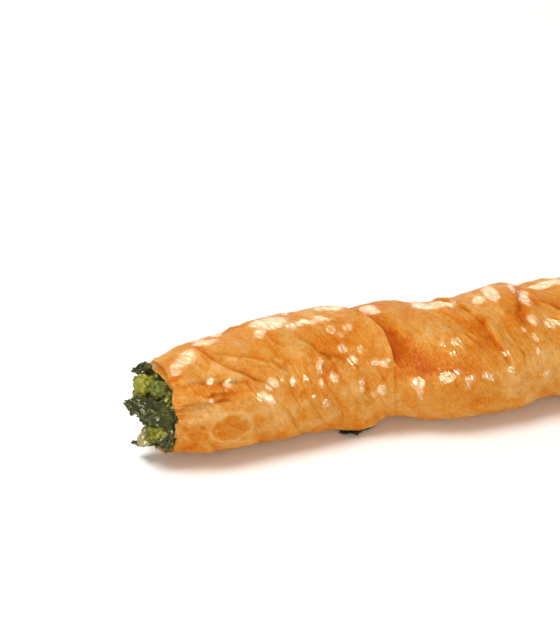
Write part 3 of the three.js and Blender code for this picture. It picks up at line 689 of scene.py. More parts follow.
def fold_relief(along, turn):
    """The folds' height, their tone, painted shade beneath a lip and a painted highlight on its edge, and
    where they gather.
    """
    relief, tone, gathered = (np.zeros(np.shape(along)) for _ in range(3))
    wander = rough(along, turn, FOLD_WAVER)
    for i, (path, (lip, lip_width), (drop, drop_width)) in enumerate(FOLDS):
        distance, share = measure_path(path, along, turn)
        edge = distance + wander
        fade = fade_ends(share, FOLD_ENDS)
        left = smooth((edge + FOLD_STEP) / (2 * FOLD_STEP))
        raised = lip * np.exp(-np.abs(edge) / lip_width)
        sunk = drop * np.exp(-np.abs(edge) / drop_width)
        ridge, line = band(edge, *FOLD_RIDGE), band(edge, *FOLD_SHADE_LINE)
        # Each fold takes its pleats from another part of the noise.
        pleats = noise(edge / PLEAT_WIDTH, share * PLEAT_WAVES + 20 * i, PLEAT_SEED)
        pleats = pleats * band(edge, *FOLD_PLEATS)
        relief += fade * ((1 - left) * raised - left * sunk + RIDGE_HEIGHT * (ridge + pleats))
        # Painted shade on the drop and in the line beneath the lip, painted highlight on the ridge and
        # pleats.
        tone += fade * (PAINTED_SHADE_BELOW_LIP * left * sunk + PAINTED_SHADE_LINE_TONE * line + PAINTED_RIDGE_HIGHLIGHT * (ridge + pleats))
        gathered = np.maximum(gathered, fade * band(edge, *FOLD_GATHERS))
    return relief, tone, gathered


def swell_relief(along, turn):
    return sum(height * bell(apart(along, turn, at, toward, reach, spread))
               for at, toward, height, reach, spread in SWELLS)


def drawn_in(along):
    """1 at the edge of a mouth, fading to 0 where the tube has its full width."""
    from_mouth = np.maximum(0, np.minimum(along, PASTRY_LENGTH - along))
    return np.exp(-((from_mouth / MOUTH_REACH) ** MOUTH_STEEPNESS))


def bore_radius(along):
    share = drawn_in(along)
    return BORE_BODY_RADIUS * (1 - share) + MOUTH_BORE_RADIUS * share


def seam_relief(along, turn):
    relief = np.zeros(np.shape(along))
    for path, height in SEAMS:
        distance, share = measure_path(path, along, turn)
        relief += height * fade_ends(share, SEAM_ENDS) * bell(distance / SEAM_WIDTH)
    return relief


def crease_relief(along, turn):
    """A net of sharp valleys, cut deep into some places and not at all into others."""
    relief = np.zeros(np.shape(along))
    for depth, width, length, share, seed in CREASES:
        bent_along = along + rough(along, turn, (CREASE_BEND_ALONG, CREASE_BEND_SIZE, seed + 10))
        bent_turn = turn + rough(along, turn, (CREASE_BEND_ROUND, CREASE_BEND_SIZE, seed + 20))
        valley = bell(twisted_noise(bent_along, bent_turn, width, length, seed) / share)
        many = smooth(CREASE_LEVEL + rough(along, turn, (CREASE_CONTRAST, 2 * width, seed + 5)))
        relief -= depth * valley * many
    return relief


def depth_inside(corners, along, turn):
    """How far inside a patch with straight sides, its corners given anticlockwise."""
    depth = np.full(np.shape(along), np.inf)
    around = np.radians(signed_turn(turn)) * MEAN_RADIUS
    points = [(a, math.radians(t) * MEAN_RADIUS) for t, a in corners]
    for (ax, ay), (bx, by) in zip(points, points[1:] + points[:1]):
        dx, dy = bx - ax, by - ay
        depth = np.minimum(depth, (dx * (around - ay) - dy * (along - ax)) / math.hypot(dx, dy))
    return depth


def oval_share(along, turn, ovals):
    """1 in the middle of the ovals that this is nearest to, fading to 0 round them."""
    share = np.zeros(np.shape(along))
    for oval in ovals:
        share = np.maximum(share, bell(apart(along, turn, *oval) ** 2))
    return share


def blister_form(along, turn):
    """The height of the blisters and their tones."""
    relief, tone = np.zeros(np.shape(along)), np.zeros(np.shape(along))
    waver = rough(along, turn, *BLISTER_WAVER)
    for *oval, inside, rim_tone, height in BLISTERS:
        away = apart(along, turn, *oval) + waver
        within = smooth((BLISTER_EDGE - away) / BLISTER_EDGE_WIDTH)
        tone += inside * within + rim_tone * band(away, *BLISTER_RIM)
        relief += height * (band(away, *BLISTER_LIP) + BLISTER_FILL * within)
    return relief, tone


def glints():
    """The bumps that the photograph shows, and others by a seeded draw on the rest of the roll."""
    rng = np.random.default_rng(GLINT_SEED)
    drawn = []
    for _ in range(GLINT_DRAWS):
        along = rng.uniform(GLINT_MARGIN, PASTRY_LENGTH - GLINT_MARGIN)
        turn, reach = rng.uniform(*GLINT_TURNS), rng.uniform(*GLINT_REACH)
        if along > SEEN_ALONG or turn > SEEN_TURN:
            drawn.append((along, turn, reach))
    return GLINTS + drawn


def glint_shares(along, turn):
    """How much of a bump there is, and how crinkled the glaze on it and round it is."""
    bump, crinkled = np.zeros(np.shape(along)), np.zeros(np.shape(along))
    for at, toward, reach in glints():
        across = np.radians(signed_turn(turn - toward)) * MEAN_RADIUS
        away = np.hypot(along - at, across) / reach
        bump = np.maximum(bump, bell(away))
        crinkled = np.maximum(crinkled, bell((away / GLINT_GLAZE_REACH) ** 2))
    return bump, np.maximum(crinkled, GLAZED_SHARE * oval_share(along, turn, GLAZED))


def wrinkled(along, turn, layer, level):
    """Sharp wrinkles along the twist, from a layer of (height, width, length, seed)."""
    height, *size = layer
    return height * (level - np.abs(twisted_noise(along, turn, *size)))


def outer_form(along, turn):
    """The outer radius, the tone from pale at -1 to deep orange at 1, and how crinkled the glaze is."""
    folds, fold_painted_light, gathered = fold_relief(along, turn)
    relief = swell_relief(along, turn) + folds
    height, *size = UNEVENNESS
    uneven = height * twisted_noise(along, turn, *size)
    height, *size = GATHERS
    gathered = clamp01(FOLD_GATHER_SHARE * gathered + smooth(height * twisted_noise(along, turn, *size)))
    glint, crinkled = glint_shares(along, turn)
    seams = seam_relief(along, turn)
    blisters, blister_tone = blister_form(along, turn)
    still = 1 - CALM_SHARE * oval_share(along, turn, CALM)
    wrinkle = still * wrinkled(along, turn, WRINKLES, 0.5)
    fine = still * gathered * wrinkled(along, turn, FINE_WRINKLES, 0.4)
    dimples = still * rough(along, turn, *DIMPLES)
    creases = still * crease_relief(along, turn)
    beads = crinkled * rough(along, turn, BEADS)
    small = seams + GLINT_HEIGHT * glint + beads + fine + dimples + creases + blisters
    body = body_radius(along) + relief + wrinkle + uneven + small
    mouth = MOUTH_RADIUS + MOUTH_RELIEF_SHARE * relief + MOUTH_SMALL_SHARE * small
    share = drawn_in(along)
    radius = body * (1 - share) + mouth * share

    # Patches keep their places but have ragged outlines.
    ragged_along = along + rough(along, turn, PATCH_RAGGED_ALONG)
    ragged_turn = turn + rough(along, turn, PATCH_RAGGED_ROUND)
    height, *size = TONE_STREAKS
    tone = BASE_TONE + rough(along, turn, *TONE_MOTTLE) + height * twisted_noise(along, turn, *size)
    for *oval, strength in TONES:
        tone += strength * np.exp(-(apart(ragged_along, ragged_turn, *oval) ** TONE_STEEPNESS))
    for corners, strength, width in BROWNED_AND_SHADED_PATCHES:
        tone += strength * smooth(0.5 + depth_inside(corners, ragged_along, ragged_turn) / width)
    # Folds, seams, creases and small relief add painted shade in their hollows and a painted highlight on
    # their crests.
    tone += fold_painted_light + blister_tone + SEAM_PAINTED_LIGHT_AND_SHADE * seams + CREASE_BROWNING_AND_PAINTED_SHADE * creases
    tone += RELIEF_PAINTED_HIGHLIGHT_AND_BROWNING * (fine + wrinkle + dimples)
    return radius, tone, clamp01(np.maximum(crinkled, GATHERED_CRINKLE * gathered * still))


# ---------------------------------------------------------------- meshes


def add_mesh(name, vertices, faces):
    mesh = bpy.data.meshes.new(name)
    mesh.from_pydata((np.asarray(vertices) * MM).tolist(), [], faces)
    mesh.update()
    mesh.shade_smooth()
    piece = bpy.data.objects.new(name, mesh)
    bpy.context.collection.objects.link(piece)
    return piece


def add_attribute(piece, name, values):
    kind, key = ("FLOAT_VECTOR", "vector") if np.ndim(values) == 2 else ("FLOAT", "value")
    attribute = piece.data.attributes.new(name, kind, "POINT")
    attribute.data.foreach_set(key, np.asarray(values, dtype=np.float32).ravel())


def ring_faces(rows, count, closed=True):
    """Quads between rings of vertices stored one after another, facing out from the centre line."""
    faces = []
    for j in range(rows if closed else rows - 1):
        a, b = j * count, ((j + 1) % rows) * count
        for i in range(count):
            k = (i + 1) % count
            faces.append((a + i, b + i, b + k, a + k))
    return faces


# ---------------------------------------------------------------- pastry


def tongue(turn, toward, height, reach):
    return height * bell(signed_turn(turn - toward) / reach)


def ends(turn):
    """Where the sheet's torn edges lie, at the left and the right mouth."""
    torn = rough(0, turn, *TORN_EDGE) + tongue(turn, *LOWER_LIP)
    return {
        "left": -edge_of["left"](turn) - torn,
        "right": PASTRY_LENGTH + edge_of["right"](turn) - torn,
    }


def rim(side, outwards, seed, turn):
    """A mouth's rim, a few thin layers with a torn edge each, from the outside in: along, radius, tone."""
    edge = ends(turn)[side]
    outer, _, _ = outer_form(edge, turn)
    inwards = (bore_radius(edge) - outer) / RIM_LAYERS
    top_tone, base_tone, gap_painted_shade = RIM_TONES_WITH_GAP_SHADE
    for layer in range(RIM_LAYERS):
        layers = [(height, size, seed) for height, size in RIM_TEAR]
        tear = rough(RIM_LAYER_SHIFT * layer, turn, *layers) + tongue(turn, *INNER_TONGUE)
        tip = edge + outwards * (RIM_OUT + (0 if layer == 0 else tear - RIM_SETBACK))
        base = outer + inwards * (layer + RIM_LAYER_SHARE)
        yield tip, outer + inwards * layer - RIM_TOP_CUT, top_tone
        yield tip, base, base_tone
        if layer < RIM_LAYERS - 1:
            yield edge - outwards * RIM_GAP_DEPTH, base - RIM_GAP_CUT, gap_painted_shade


def make_pastry():
    """The wound sheet: a dense outer grid that follows the twist, torn layered rims, and the bore."""
    steps = np.arange(ROUND_STEPS) * 360 / ROUND_STEPS
    rings, tones, crinkles = [], [], []

    def add_ring(along, radius, tone, turn=steps, crinkle=RIM_CRINKLE):
        points = place(along, turn, radius)
        points[:, 2] = np.maximum(points[:, 2], 0)
        rings.append(points)
        tones.append(np.broadcast_to(tone, (ROUND_STEPS,)))
        crinkles.append(np.broadcast_to(crinkle, (ROUND_STEPS,)))

    even = np.arange(OUTER_STEPS + 1) / OUTER_STEPS
    shares = even - CROWDING * np.sin(2 * math.pi * even)
    turn = full_turn(steps[None, :] - 360 * OUTER_TURNS * shares[:, None])
    edges = ends(turn)
    along = edges["left"] + shares[:, None] * (edges["right"] - edges["left"])
    radius, tone, crinkle = outer_form(along, turn)
    for row in range(OUTER_STEPS + 1):
        add_ring(along[row], radius[row], tone[row], turn[row], crinkle[row])
    for ring in rim("right", 1, RIM_SEEDS["right"], steps):
        add_ring(*ring)
    for station in reversed(BORE_STATIONS):
        ring_along = np.full(ROUND_STEPS, float(station))
        add_ring(ring_along, bore_radius(ring_along), BORE_PAINTED_SHADE)
    for ring in reversed(list(rim("left", -1, RIM_SEEDS["left"], steps))):
        add_ring(*ring)

    vertices = np.concatenate(rings)
    piece = add_mesh("filo_pastry", vertices, ring_faces(len(rings), ROUND_STEPS))
    add_attribute(piece, "tone", np.concatenate(tones))
    add_attribute(piece, "crinkle", np.concatenate(crinkles))

    # Places on the unwound sheet, for wrinkles that are too fine for the mesh.
    own_along, own_offset, own_height = (vertices + (ORIGIN_ALONG, ORIGIN_OFFSET, -CENTRE_HEIGHT)).T
    own_turn = np.arctan2(own_height, centre_offset(own_along) - own_offset)
    angle = own_turn + 2 * math.pi * own_along / TWIST_PITCH
    reach = SHEET_STRETCH * MEAN_RADIUS
    add_attribute(piece, "sheet", np.stack([reach * np.cos(angle), reach * np.sin(angle), own_along], -1))

    # The same places as distances across and along the winding; these part at the underside.
    around = np.where(own_turn < -math.pi / 2, own_turn + 2 * math.pi, own_turn) * MEAN_RADIUS
    slant = math.atan2(TWIST_PITCH, 2 * math.pi * MEAN_RADIUS)
    across = own_along * math.cos(slant) + around * math.sin(slant)
    lengthwise = around * math.cos(slant) - own_along * math.sin(slant)
    add_attribute(piece, "winding", np.stack([across, lengthwise, np.zeros_like(across)], -1))
    return piece


# ---------------------------------------------------------------- filling


class Heap:
    """Many small meshes gathered into one."""

    def __init__(self):
        self.vertices, self.faces, self.greens, self.veins = [], [], [], []
        self.count = 0

    def add(self, points, faces, green, vein=0.0):
        self.vertices.append(points)
        self.faces += [tuple(i + self.count for i in face) for face in faces]
        self.greens.append(np.broadcast_to(green, len(points)))
        self.veins.append(np.broadcast_to(vein, len(points)))
        self.count += len(points)

    def make(self, name, *replaced):
        piece = add_mesh(name, np.concatenate(self.vertices), self.faces)
        add_attribute(piece, "green", np.concatenate(self.greens))
        add_attribute(piece, "vein", np.concatenate(self.veins))
        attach(piece, "root")
        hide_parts(*replaced)
        return piece


def sheet_faces(rows, columns):
    """Faces of a closed thin sheet: the grid on top, the same grid below, and the border between."""
    top = np.arange(rows * columns).reshape(rows, columns)
    bottom = top + rows * columns
    a, b, c, d = (grid.ravel() for grid in (top[:-1, :-1], top[1:, :-1], top[1:, 1:], top[:-1, 1:]))
    faces = list(zip(a, b, c, d))
    faces += [tuple(i + rows * columns for i in reversed(face)) for face in faces]

    def border(grid):
        return [*grid[:, 0], *grid[-1, 1:], *grid[-2::-1, -1], *grid[0, -2:0:-1]]

    upper, lower = border(top), border(bottom)
    for i, (p, q) in enumerate(zip(upper, lower)):
        r, s = upper[(i + 1) % len(upper)], lower[(i + 1) % len(lower)]
        faces.append((p, q, s, r))
    return [tuple(int(i) for i in face) for face in faces]


def leaf_shape(length, width, bend, cup, seed, steps, crumple=0.45, thickness=0.5):
    """A crumpled torn leaf, its length along X and its broad side facing +Z, and where its veins are."""
    rows, columns = steps
    t = np.linspace(0, 1, rows)[:, None]
    q = np.linspace(-1, 1, columns)[None, :]
    down, aside = length * t, width / 2 * q
    lobes = 1 + LEAF_LOBES * noise(seed, LEAF_LOBE_WAVES * t, 1)
    fullness = np.sin(math.pi * t**LEAF_TIP_POWER) ** LEAF_SIDE_POWER * lobes
    ragged = 1 + np.abs(q) * sum(
        share * noise(waves * down, np.sign(q) * 3, seed) for share, waves in LEAF_RAGGED
    )
    half = width / 2 * np.maximum(LEAF_NARROWEST, fullness)
    wave = LEAF_WAVE * width * noise(4 * t, 2 * q, seed) + cup * q * q
    folds = 0.5 - np.abs(noise(LEAF_FOLD_WAVES * down, aside, seed))
    for share, waves in LEAF_CRUMPLES:
        folds = folds + share * noise(waves * down, waves * aside, seed)
    side_veins = np.abs((SIDE_VEINS * t - SIDE_VEIN_SLANT * np.abs(q)) % 1 - 0.5) * 2
    vein = np.maximum(bell(q / MIDRIB_WIDTH), SIDE_VEIN_SHARE * smooth(1 - side_veins * SIDE_VEIN_SHARPNESS))
    tear = LEAF_TEAR * length * noise(LEAF_TEAR_WAVES * aside, 5, seed) * (2 * t - 1) ** 3
    arc_radius = length / math.radians(bend)
    angle = math.radians(bend) * (t - 0.5)
    x = arc_radius * np.sin(angle) + tear
    middle = arc_radius * (1 - np.cos(angle)) + wave + crumple * folds - VEIN_DEPTH * vein
    thin = thickness * (1 - LEAF_THINNING * np.abs(q) ** 3)
    layers = [
        np.stack(np.broadcast_arrays(x, half * ragged * q, middle + side * thin / 2), -1)
        for side in (1, -1)
    ]
    points = np.concatenate([layer.reshape(-1, 3) for layer in layers])
    veins = np.tile(np.broadcast_to(vein, (rows, columns)).ravel(), 2)
    return points, sheet_faces(rows, columns), veins


def lump_shape(size, seed, detail=5):
    """A pulpy lump of chopped leaf, its length along X."""
    half, across = size
    ball = bmesh.new()
    bmesh.ops.create_icosphere(ball, subdivisions=detail, radius=1)
    points = np.array([vertex.co[:] for vertex in ball.verts])
    faces = [tuple(vertex.index for vertex in face.verts) for face in ball.faces]
    ball.free()
    height, waves = LUMP_SWELLS
    x, y, z = points.T * waves
    bumps = height * noise(x + seed, y, z) + crumbs(points, LUMP_CRUMBS, seed)
    height, waves = LUMP_GRAIN
    x, y, z = points.T * waves
    bumps += height * noise(x, y, z + seed)
    return points * (1 + bumps)[:, None] * (half, across, across), faces


def set_at_mouth(points, end, at, tip, faces=(0, 1, 0)):
    """Moves a piece from its own axes to its place at a mouth."""
    along = 0.0 if end == "left" else float(PASTRY_LENGTH)
    down, front = headings(np.array(along))
    out = -down if end == "left" else down
    turned, scale = math.radians(MOUTHS[end]["turned"]), MOUTHS[end]["scale"]

    def to_world(vector):
        o, f, u = vector
        f, u = f * math.cos(turned) - u * math.sin(turned), f * math.sin(turned) + u * math.cos(turned)
        return o * out + f * front + u * UP

    x = to_world(tip)
    x /= np.linalg.norm(x)
    z = to_world(faces)
    z -= z.dot(x) * x
    z /= np.linalg.norm(z)
    return centre_point(along) + scale * (to_world(at) + points @ np.array([x, np.cross(z, x), z]))


def plug_radius(out):
    distances, radii = np.array(PLUG_PROFILE + [(PLUG_TIP, 0.0)]).T
    return np.interp(out, distances, radii)


def add_core(heap):
    """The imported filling: a tube that fits the bore, with a rough chopped dome beyond each mouth."""
    steps = np.arange(CORE_SIDES) * 360 / CORE_SIDES
    outs = PLUG_TIP * np.sin(np.linspace(0, math.pi / 2, PLUG_STATIONS))[1:-1]
    stations = [(-out, plug_radius(out)) for out in reversed(outs)]
    for along in np.linspace(0, PASTRY_LENGTH, TUBE_STATIONS):
        stations.append((along, bore_radius(along) - CLEARANCE))
    stations += [(PASTRY_LENGTH + out, plug_radius(out)) for out in outs]
    rings, greens = [], []
    for along, radius in stations:
        points = place(along, steps, np.full(CORE_SIDES, radius))
        beyond = max(-along, along - PASTRY_LENGTH)
        chopped = crumbs(points, CORE_CRUMBS)
        x, y, z = points.T / PLUG_SWELL_SIZE
        deep = PLUG_ROUGHNESS * noise(x, y, z + 7) + CORE_CRUMB_SHARE * chopped
        deep *= smooth(0.5 + beyond / CORE_ROUGH_OVER)
        # Near the mouth the dome is only cut into, so that it stays clear of the rim.
        deep = np.where(beyond < PLUG_PROFILE[0][0], np.minimum(deep, 0), deep)
        away = points - centre_point(float(clamp01(along / PASTRY_LENGTH)) * PASTRY_LENGTH)
        rings.append(points + away / np.linalg.norm(away, axis=1)[:, None] * deep[:, None])
        x, y, z = points.T / CORE_GREEN_SIZE
        lowest, patches, crests = CORE_GREENS
        greens.append(lowest + patches * clamp01(noise(x, y + 9, z)) + crests * clamp01(chopped))
    tips = [centre_point(-PLUG_TIP)[None], centre_point(PASTRY_LENGTH + PLUG_TIP)[None]]
    points = np.concatenate([*rings, *tips])
    faces = ring_faces(len(rings), CORE_SIDES, closed=False)
    first_tip, last_tip = len(points) - 2, len(points) - 1
    last = (len(rings) - 1) * CORE_SIDES
    for i in range(CORE_SIDES):
        k = (i + 1) % CORE_SIDES
        faces += [(i, k, first_tip), (last + k, last + i, last_tip)]
    heap.add(points, faces, np.append(np.concatenate(greens), [CORE_TIP_GREEN] * 2))


def small_leaf(rng, lengths, bends, cup, **shape):
    """A small torn leaf, its size, bend and cup by a seeded draw."""
    length = rng.uniform(*lengths)
    width = length * rng.uniform(*SMALL_LEAF_WIDTHS)
    return leaf_shape(length, width, rng.uniform(*bends), rng.uniform(-cup, cup), crumple=0.5, **shape)


def add_bits(bits, pulp_bits, stem_bits, end, rng):
    """Small torn scraps, crumbs of pulp and threads of stem, pressed into the dome of filling."""
    for i in range(MOUTHS[end]["bit_count"]):
        turn = rng.uniform(0, 2 * math.pi)
        out = rng.uniform(LEAST_OUT, PLUG_TIP)
        radius = min(plug_radius(out), MOUTH_BORE_RADIUS - BIT_MARGIN) * rng.uniform(*BIT_DEPTHS)
        at = (out + BIT_LIFT, radius * math.cos(turn), max(radius * math.sin(turn), LOWEST_BIT))
        faces = (
            1 + BIT_FACING * out + BIT_TILT * rng.normal(),
            at[1] + BIT_TILT * rng.normal(),
            at[2] + BIT_TILT * rng.normal(),
        )
        tip = rng.normal(size=3)
        kind = rng.uniform()
        covered = BARE_SECTOR[0] < signed_turn(math.degrees(turn)) < BARE_SECTOR[1]
        if covered and out > BARE_FROM and kind > BARE_SHARE:
            continue
        if kind < PULP_SHARE:
            is_stem = kind < STEM_SHARE
            size = [rng.uniform(*span) for span in (STEM_BIT_SIZES if is_stem else PULP_BIT_SIZES)]
            points, quads = lump_shape(size, i, detail=3)
            heap = stem_bits if is_stem else pulp_bits
            green = STEM_BIT_GREEN if is_stem else rng.uniform(*PULP_BIT_GREENS)
            vein = 0.0
        else:
            heap = bits
            points, quads, vein = small_leaf(rng, **BIT_LEAF, seed=100 + i)
            green = rng.choice(BIT_GREENS, p=BIT_GREEN_SHARES)
        heap.add(set_at_mouth(points, end, at, tip, faces), quads, green, vein)


def add_flakes(bits, points, green, count, rng):
    """Flakes of chopped leaf that lie on the surface of a lump."""
    middle = points.mean(0)
    for place_on in rng.choice(len(points), count, replace=False):
        away = points[place_on] - middle
        z = away / np.linalg.norm(away) + FLAKE_TILT * rng.normal(size=3)
        x = np.cross(z, rng.normal(size=3))
        x, z = x / np.linalg.norm(x), z / np.linalg.norm(z)
        flake, quads, vein = small_leaf(rng, **FLAKE, seed=int(place_on))
        turned = flake @ np.array([x, np.cross(z, x), z])
        bits.add(points[place_on] + turned, quads, green - rng.uniform(0, FLAKE_DARKENING), vein)


def make_filling():
    core, leaves, lumps, stems, bits = (Heap() for _ in range(5))
    add_core(core)
    rng = np.random.default_rng(FILLING_SEED)
    for end, mouth in MOUTHS.items():
        for i, (at, tip, faces, *shape, green) in enumerate(LEAVES[:mouth["leaf_count"]]):
            points, quads, vein = leaf_shape(*shape, seed=LEAF_SEED + i, steps=LEAF_STEPS)
            leaves.add(set_at_mouth(points, end, at, tip, faces), quads, green, vein)
        for i, (at, tip, size, green, flakes) in enumerate(LUMPS[:mouth["lump_count"]]):
            points, triangles = lump_shape(size, LUMP_SEED + i)
            points = set_at_mouth(points, end, at, tip)
            (stems if i == STEM_LUMP else lumps).add(points, triangles, green)
            add_flakes(bits, points, green, flakes, rng)
        add_bits(bits, lumps, stems, end, rng)
    leaf, pulp, stem = leaf_material(), pulp_material(), stem_material()
    for heap, name, material in (
        (core, "spinach_core", leaf),
        (leaves, "spinach_leaves", leaf),
        (bits, "spinach_bits", leaf),
        (lumps, "spinach_pulp", pulp),
        (stems, "spinach_stems", stem),
    ):
        heap.make(name, "filling").data.materials.append(material)

    points, quads, vein = leaf_shape(**SCRAP_SHAPE)
    _, front = headings(np.array(SCRAP_ALONG))
    middle = centre_point(SCRAP_ALONG) + SCRAP_FRONT * front
    points += (middle[0], middle[1], SCRAP_LIFT - points[:, 2].min())
    scrap = Heap()
    scrap.add(points, quads, SCRAP_GREEN, vein)
    scrap.make("spinach_scrap", "leaf_scrap").data.materials.append(leaf)


# ---------------------------------------------------------------- materials

NOISE_RANGE = (0.3, 0.7)  # where most of a noise texture's values lie
NOISE_MIDDLE = 0.5
OPAQUE = 1.0


def srgb(r, g, b):
    """A linear colour from 0 to 255 sRGB numbers."""
    def linear(c):
        c /= 255
        return c / 12.92 if c <= 0.04045 else ((c + 0.055) / 1.055) ** 2.4

    return (linear(r), linear(g), linear(b), OPAQUE)


class Nodes:
    """The nodes of a material or of the world, added and linked in one call each."""

    def __init__(self, owner, shader="Principled BSDF"):
        owner.use_nodes = True
        self.owner = owner
        self.tree = owner.node_tree
        self.shader = self.tree.nodes[shader]

    def fill(self, node, inputs):
        for key, value in inputs.items():
            if isinstance(value, bpy.types.NodeSocket):
                self.tree.links.new(value, node.inputs[key])
            else:
                node.inputs[key].default_value = value

    def shade(self, inputs):
        self.fill(self.shader, inputs)

    def add(self, kind, inputs=None, **settings):
        node = self.tree.nodes.new(kind)
        for key, value in settings.items():
            setattr(node, key, value)
        self.fill(node, inputs or {})
        return node

    def attribute(self, name, output="Fac"):
        return self.add("ShaderNodeAttribute", attribute_name=name).outputs[output]

    def scaled(self, where, scale):
        return self.add("ShaderNodeMapping", {"Vector": where, "Scale": scale}).outputs["Vector"]

    def millimetres(self):
        """Places on the object, in millimetres."""
        return self.scaled(self.add("ShaderNodeTexCoord").outputs["Object"], (1 / MM, 1 / MM, 1 / MM))

    def noise(self, where, scale, detail=3.0, roughness=0.5):
        inputs = {"Vector": where, "Scale": scale, "Detail": detail, "Roughness": roughness}
        return self.add("ShaderNodeTexNoise", inputs).outputs["Fac"]

    def math(self, operation, *values):
        return self.add("ShaderNodeMath", dict(enumerate(values)), operation=operation).outputs[0]

    def plus(self, start, *terms):
        """A value with others added to it, each a value or a pair of a value and its share."""
        for term in terms:
            if isinstance(term, tuple):
                start = self.math("MULTIPLY_ADD", *term, start)
            else:
                start = self.math("ADD", start, term)
        return start

    def remap(self, value, source, target, **settings):
        inputs = {"Value": value}
        for end, pair in (("From", source), ("To", target)):
            inputs[end + " Min"], inputs[end + " Max"] = pair
        return self.add("ShaderNodeMapRange", inputs, clamp=True, **settings).outputs[0]

    def valleys(self, value):
        """0 along the sharp valleys where noise crosses its middle, rising off them."""
        return self.math("ABSOLUTE", self.math("SUBTRACT", value, NOISE_MIDDLE))

    def lines(self, value, width):
        """1 along the thin lines where noise crosses its middle, 0 off them."""
        return self.remap(self.valleys(value), (0, width), (1, 0))

    def ramp(self, value, *stops):
        """Colours blended along a value, from stops of (value, red, green, blue)."""
        node = self.add("ShaderNodeValToRGB", {"Fac": value})
        elements = node.color_ramp.elements
        while len(elements) < len(stops):
            elements.new(0.5)
        for element, (at, *colour) in zip(elements, stops):
            element.position = at
            element.color = srgb(*colour)
        return node.outputs["Color"]

    def blend(self, share, colour, other):
        """One colour mixed into another. A Mix node's sockets repeat their names, so these go by number."""
        inputs = {"Factor": share, 6: colour, 7: other}
        return self.add("ShaderNodeMix", inputs, data_type="RGBA").outputs[2]

    def bump(self, height, strength, distance, **inputs):
        inputs = {"Height": height, "Strength": strength, "Distance": distance * MM, **inputs}
        return self.add("ShaderNodeBump", inputs).outputs["Normal"]


def soft(weight, radius, scale):
    """Light that passes through the outer layer: how much, how far by colour, and over how many mm."""
    return {"Subsurface Weight": weight, "Subsurface Radius": radius, "Subsurface Scale": scale * MM}


def pastry_material():
    """Baked filo under a thin glaze, coloured by the tone attribute with its painted light and shade, and
    painted paler where the glaze crinkles and glints.
    """
    n = Nodes(bpy.data.materials.new("baked_filo"))
    tone, crinkle = n.attribute("tone"), n.attribute("crinkle")
    sheet, winding = n.attribute("sheet", "Vector"), n.attribute("winding", "Vector")
    surface = n.millimetres()
    cloud = n.noise(surface, 0.3, detail=5.0, roughness=0.62)
    speckle = n.noise(surface, 1.1, detail=4.0, roughness=0.7)
    crackle = n.noise(surface, 1.25, detail=2.0, roughness=0.6)
    grain = n.noise(surface, 2.4, detail=2.0, roughness=0.6)
    creases = n.lines(n.noise(sheet, 0.42, detail=3.0, roughness=0.6), width=0.022)
    cracks = n.lines(n.noise(surface, 0.55, detail=3.0, roughness=0.6), width=0.018)
    streaked = n.noise(n.scaled(winding, (0.95, 0.13, 1)), 1.0, detail=2.0, roughness=0.55)
    mixed = n.plus(
        tone,
        n.remap(cloud, NOISE_RANGE, (-0.38, 0.38)),
        n.remap(speckle, NOISE_RANGE, (-0.4, 0.4)),
        # Paler where the glaze crinkles: a painted highlight at the glints.
        n.remap(crinkle, (0.3, 0.9), (0, -0.4)),
        (creases, -0.8),
        (cracks, 0.7),
        (n.lines(streaked, width=0.04), 0.35),
    )
    colour = n.ramp(
        n.remap(mixed, (-1.3, 1.9), (0, 1)),
        (0.00, 212, 163, 100),
        (0.21, 207, 150, 78),
        (0.40, 201, 133, 46),
        (0.61, 197, 112, 16),
        (0.84, 184, 88, 0),
        (1.00, 172, 70, 0),
    )
    # Pale cream crackle lines where the glaze crinkles: a painted highlight.
    painted_glint_crackle = n.math("MULTIPLY", n.lines(crackle, width=0.04), n.remap(crinkle, (0.35, 0.9), (0, 0.3)))
    folded = n.valleys(n.noise(sheet, 1.0, detail=2.0))
    drawn = n.remap(n.noise(sheet, 0.16, detail=1.0), (0.42, 0.6), (-0.2, -2.4))
    height = n.plus(
        n.math("MULTIPLY", n.plus(n.valleys(crackle), (folded, 0.5)), -0.45),
        (grain, 0.12),
        (n.valleys(streaked), drawn),
        (creases, 0.18),
        (cracks, -0.18),
    )
    surface_normal = n.bump(height, strength=0.85, distance=0.6)
    beaded = n.valleys(n.noise(surface, 1.1, detail=1.0))
    glazed = n.math("MULTIPLY", beaded, n.remap(crinkle, (0.15, 0.6), (0, -0.6)))
    n.shade({
        "Base Color": n.blend(painted_glint_crackle, colour, srgb(250, 206, 140)),
        "Normal": surface_normal,
        "Coat Normal": n.bump(glazed, strength=1.0, distance=0.6, Normal=surface_normal),
        "Roughness": n.remap(cloud, NOISE_RANGE, (0.34, 0.48)),
        "Specular IOR Level": 0.04,
        "Coat IOR": 1.8,
        "Coat Weight": n.remap(crinkle, (0.25, 0.6), (0.02, 1)),
        "Coat Roughness": n.remap(crinkle, (0.1, 0.7), (0.12, 0.05)),
        **soft(0.12, (1.0, 0.5, 0.15), 1.5),
    })
    return n.owner


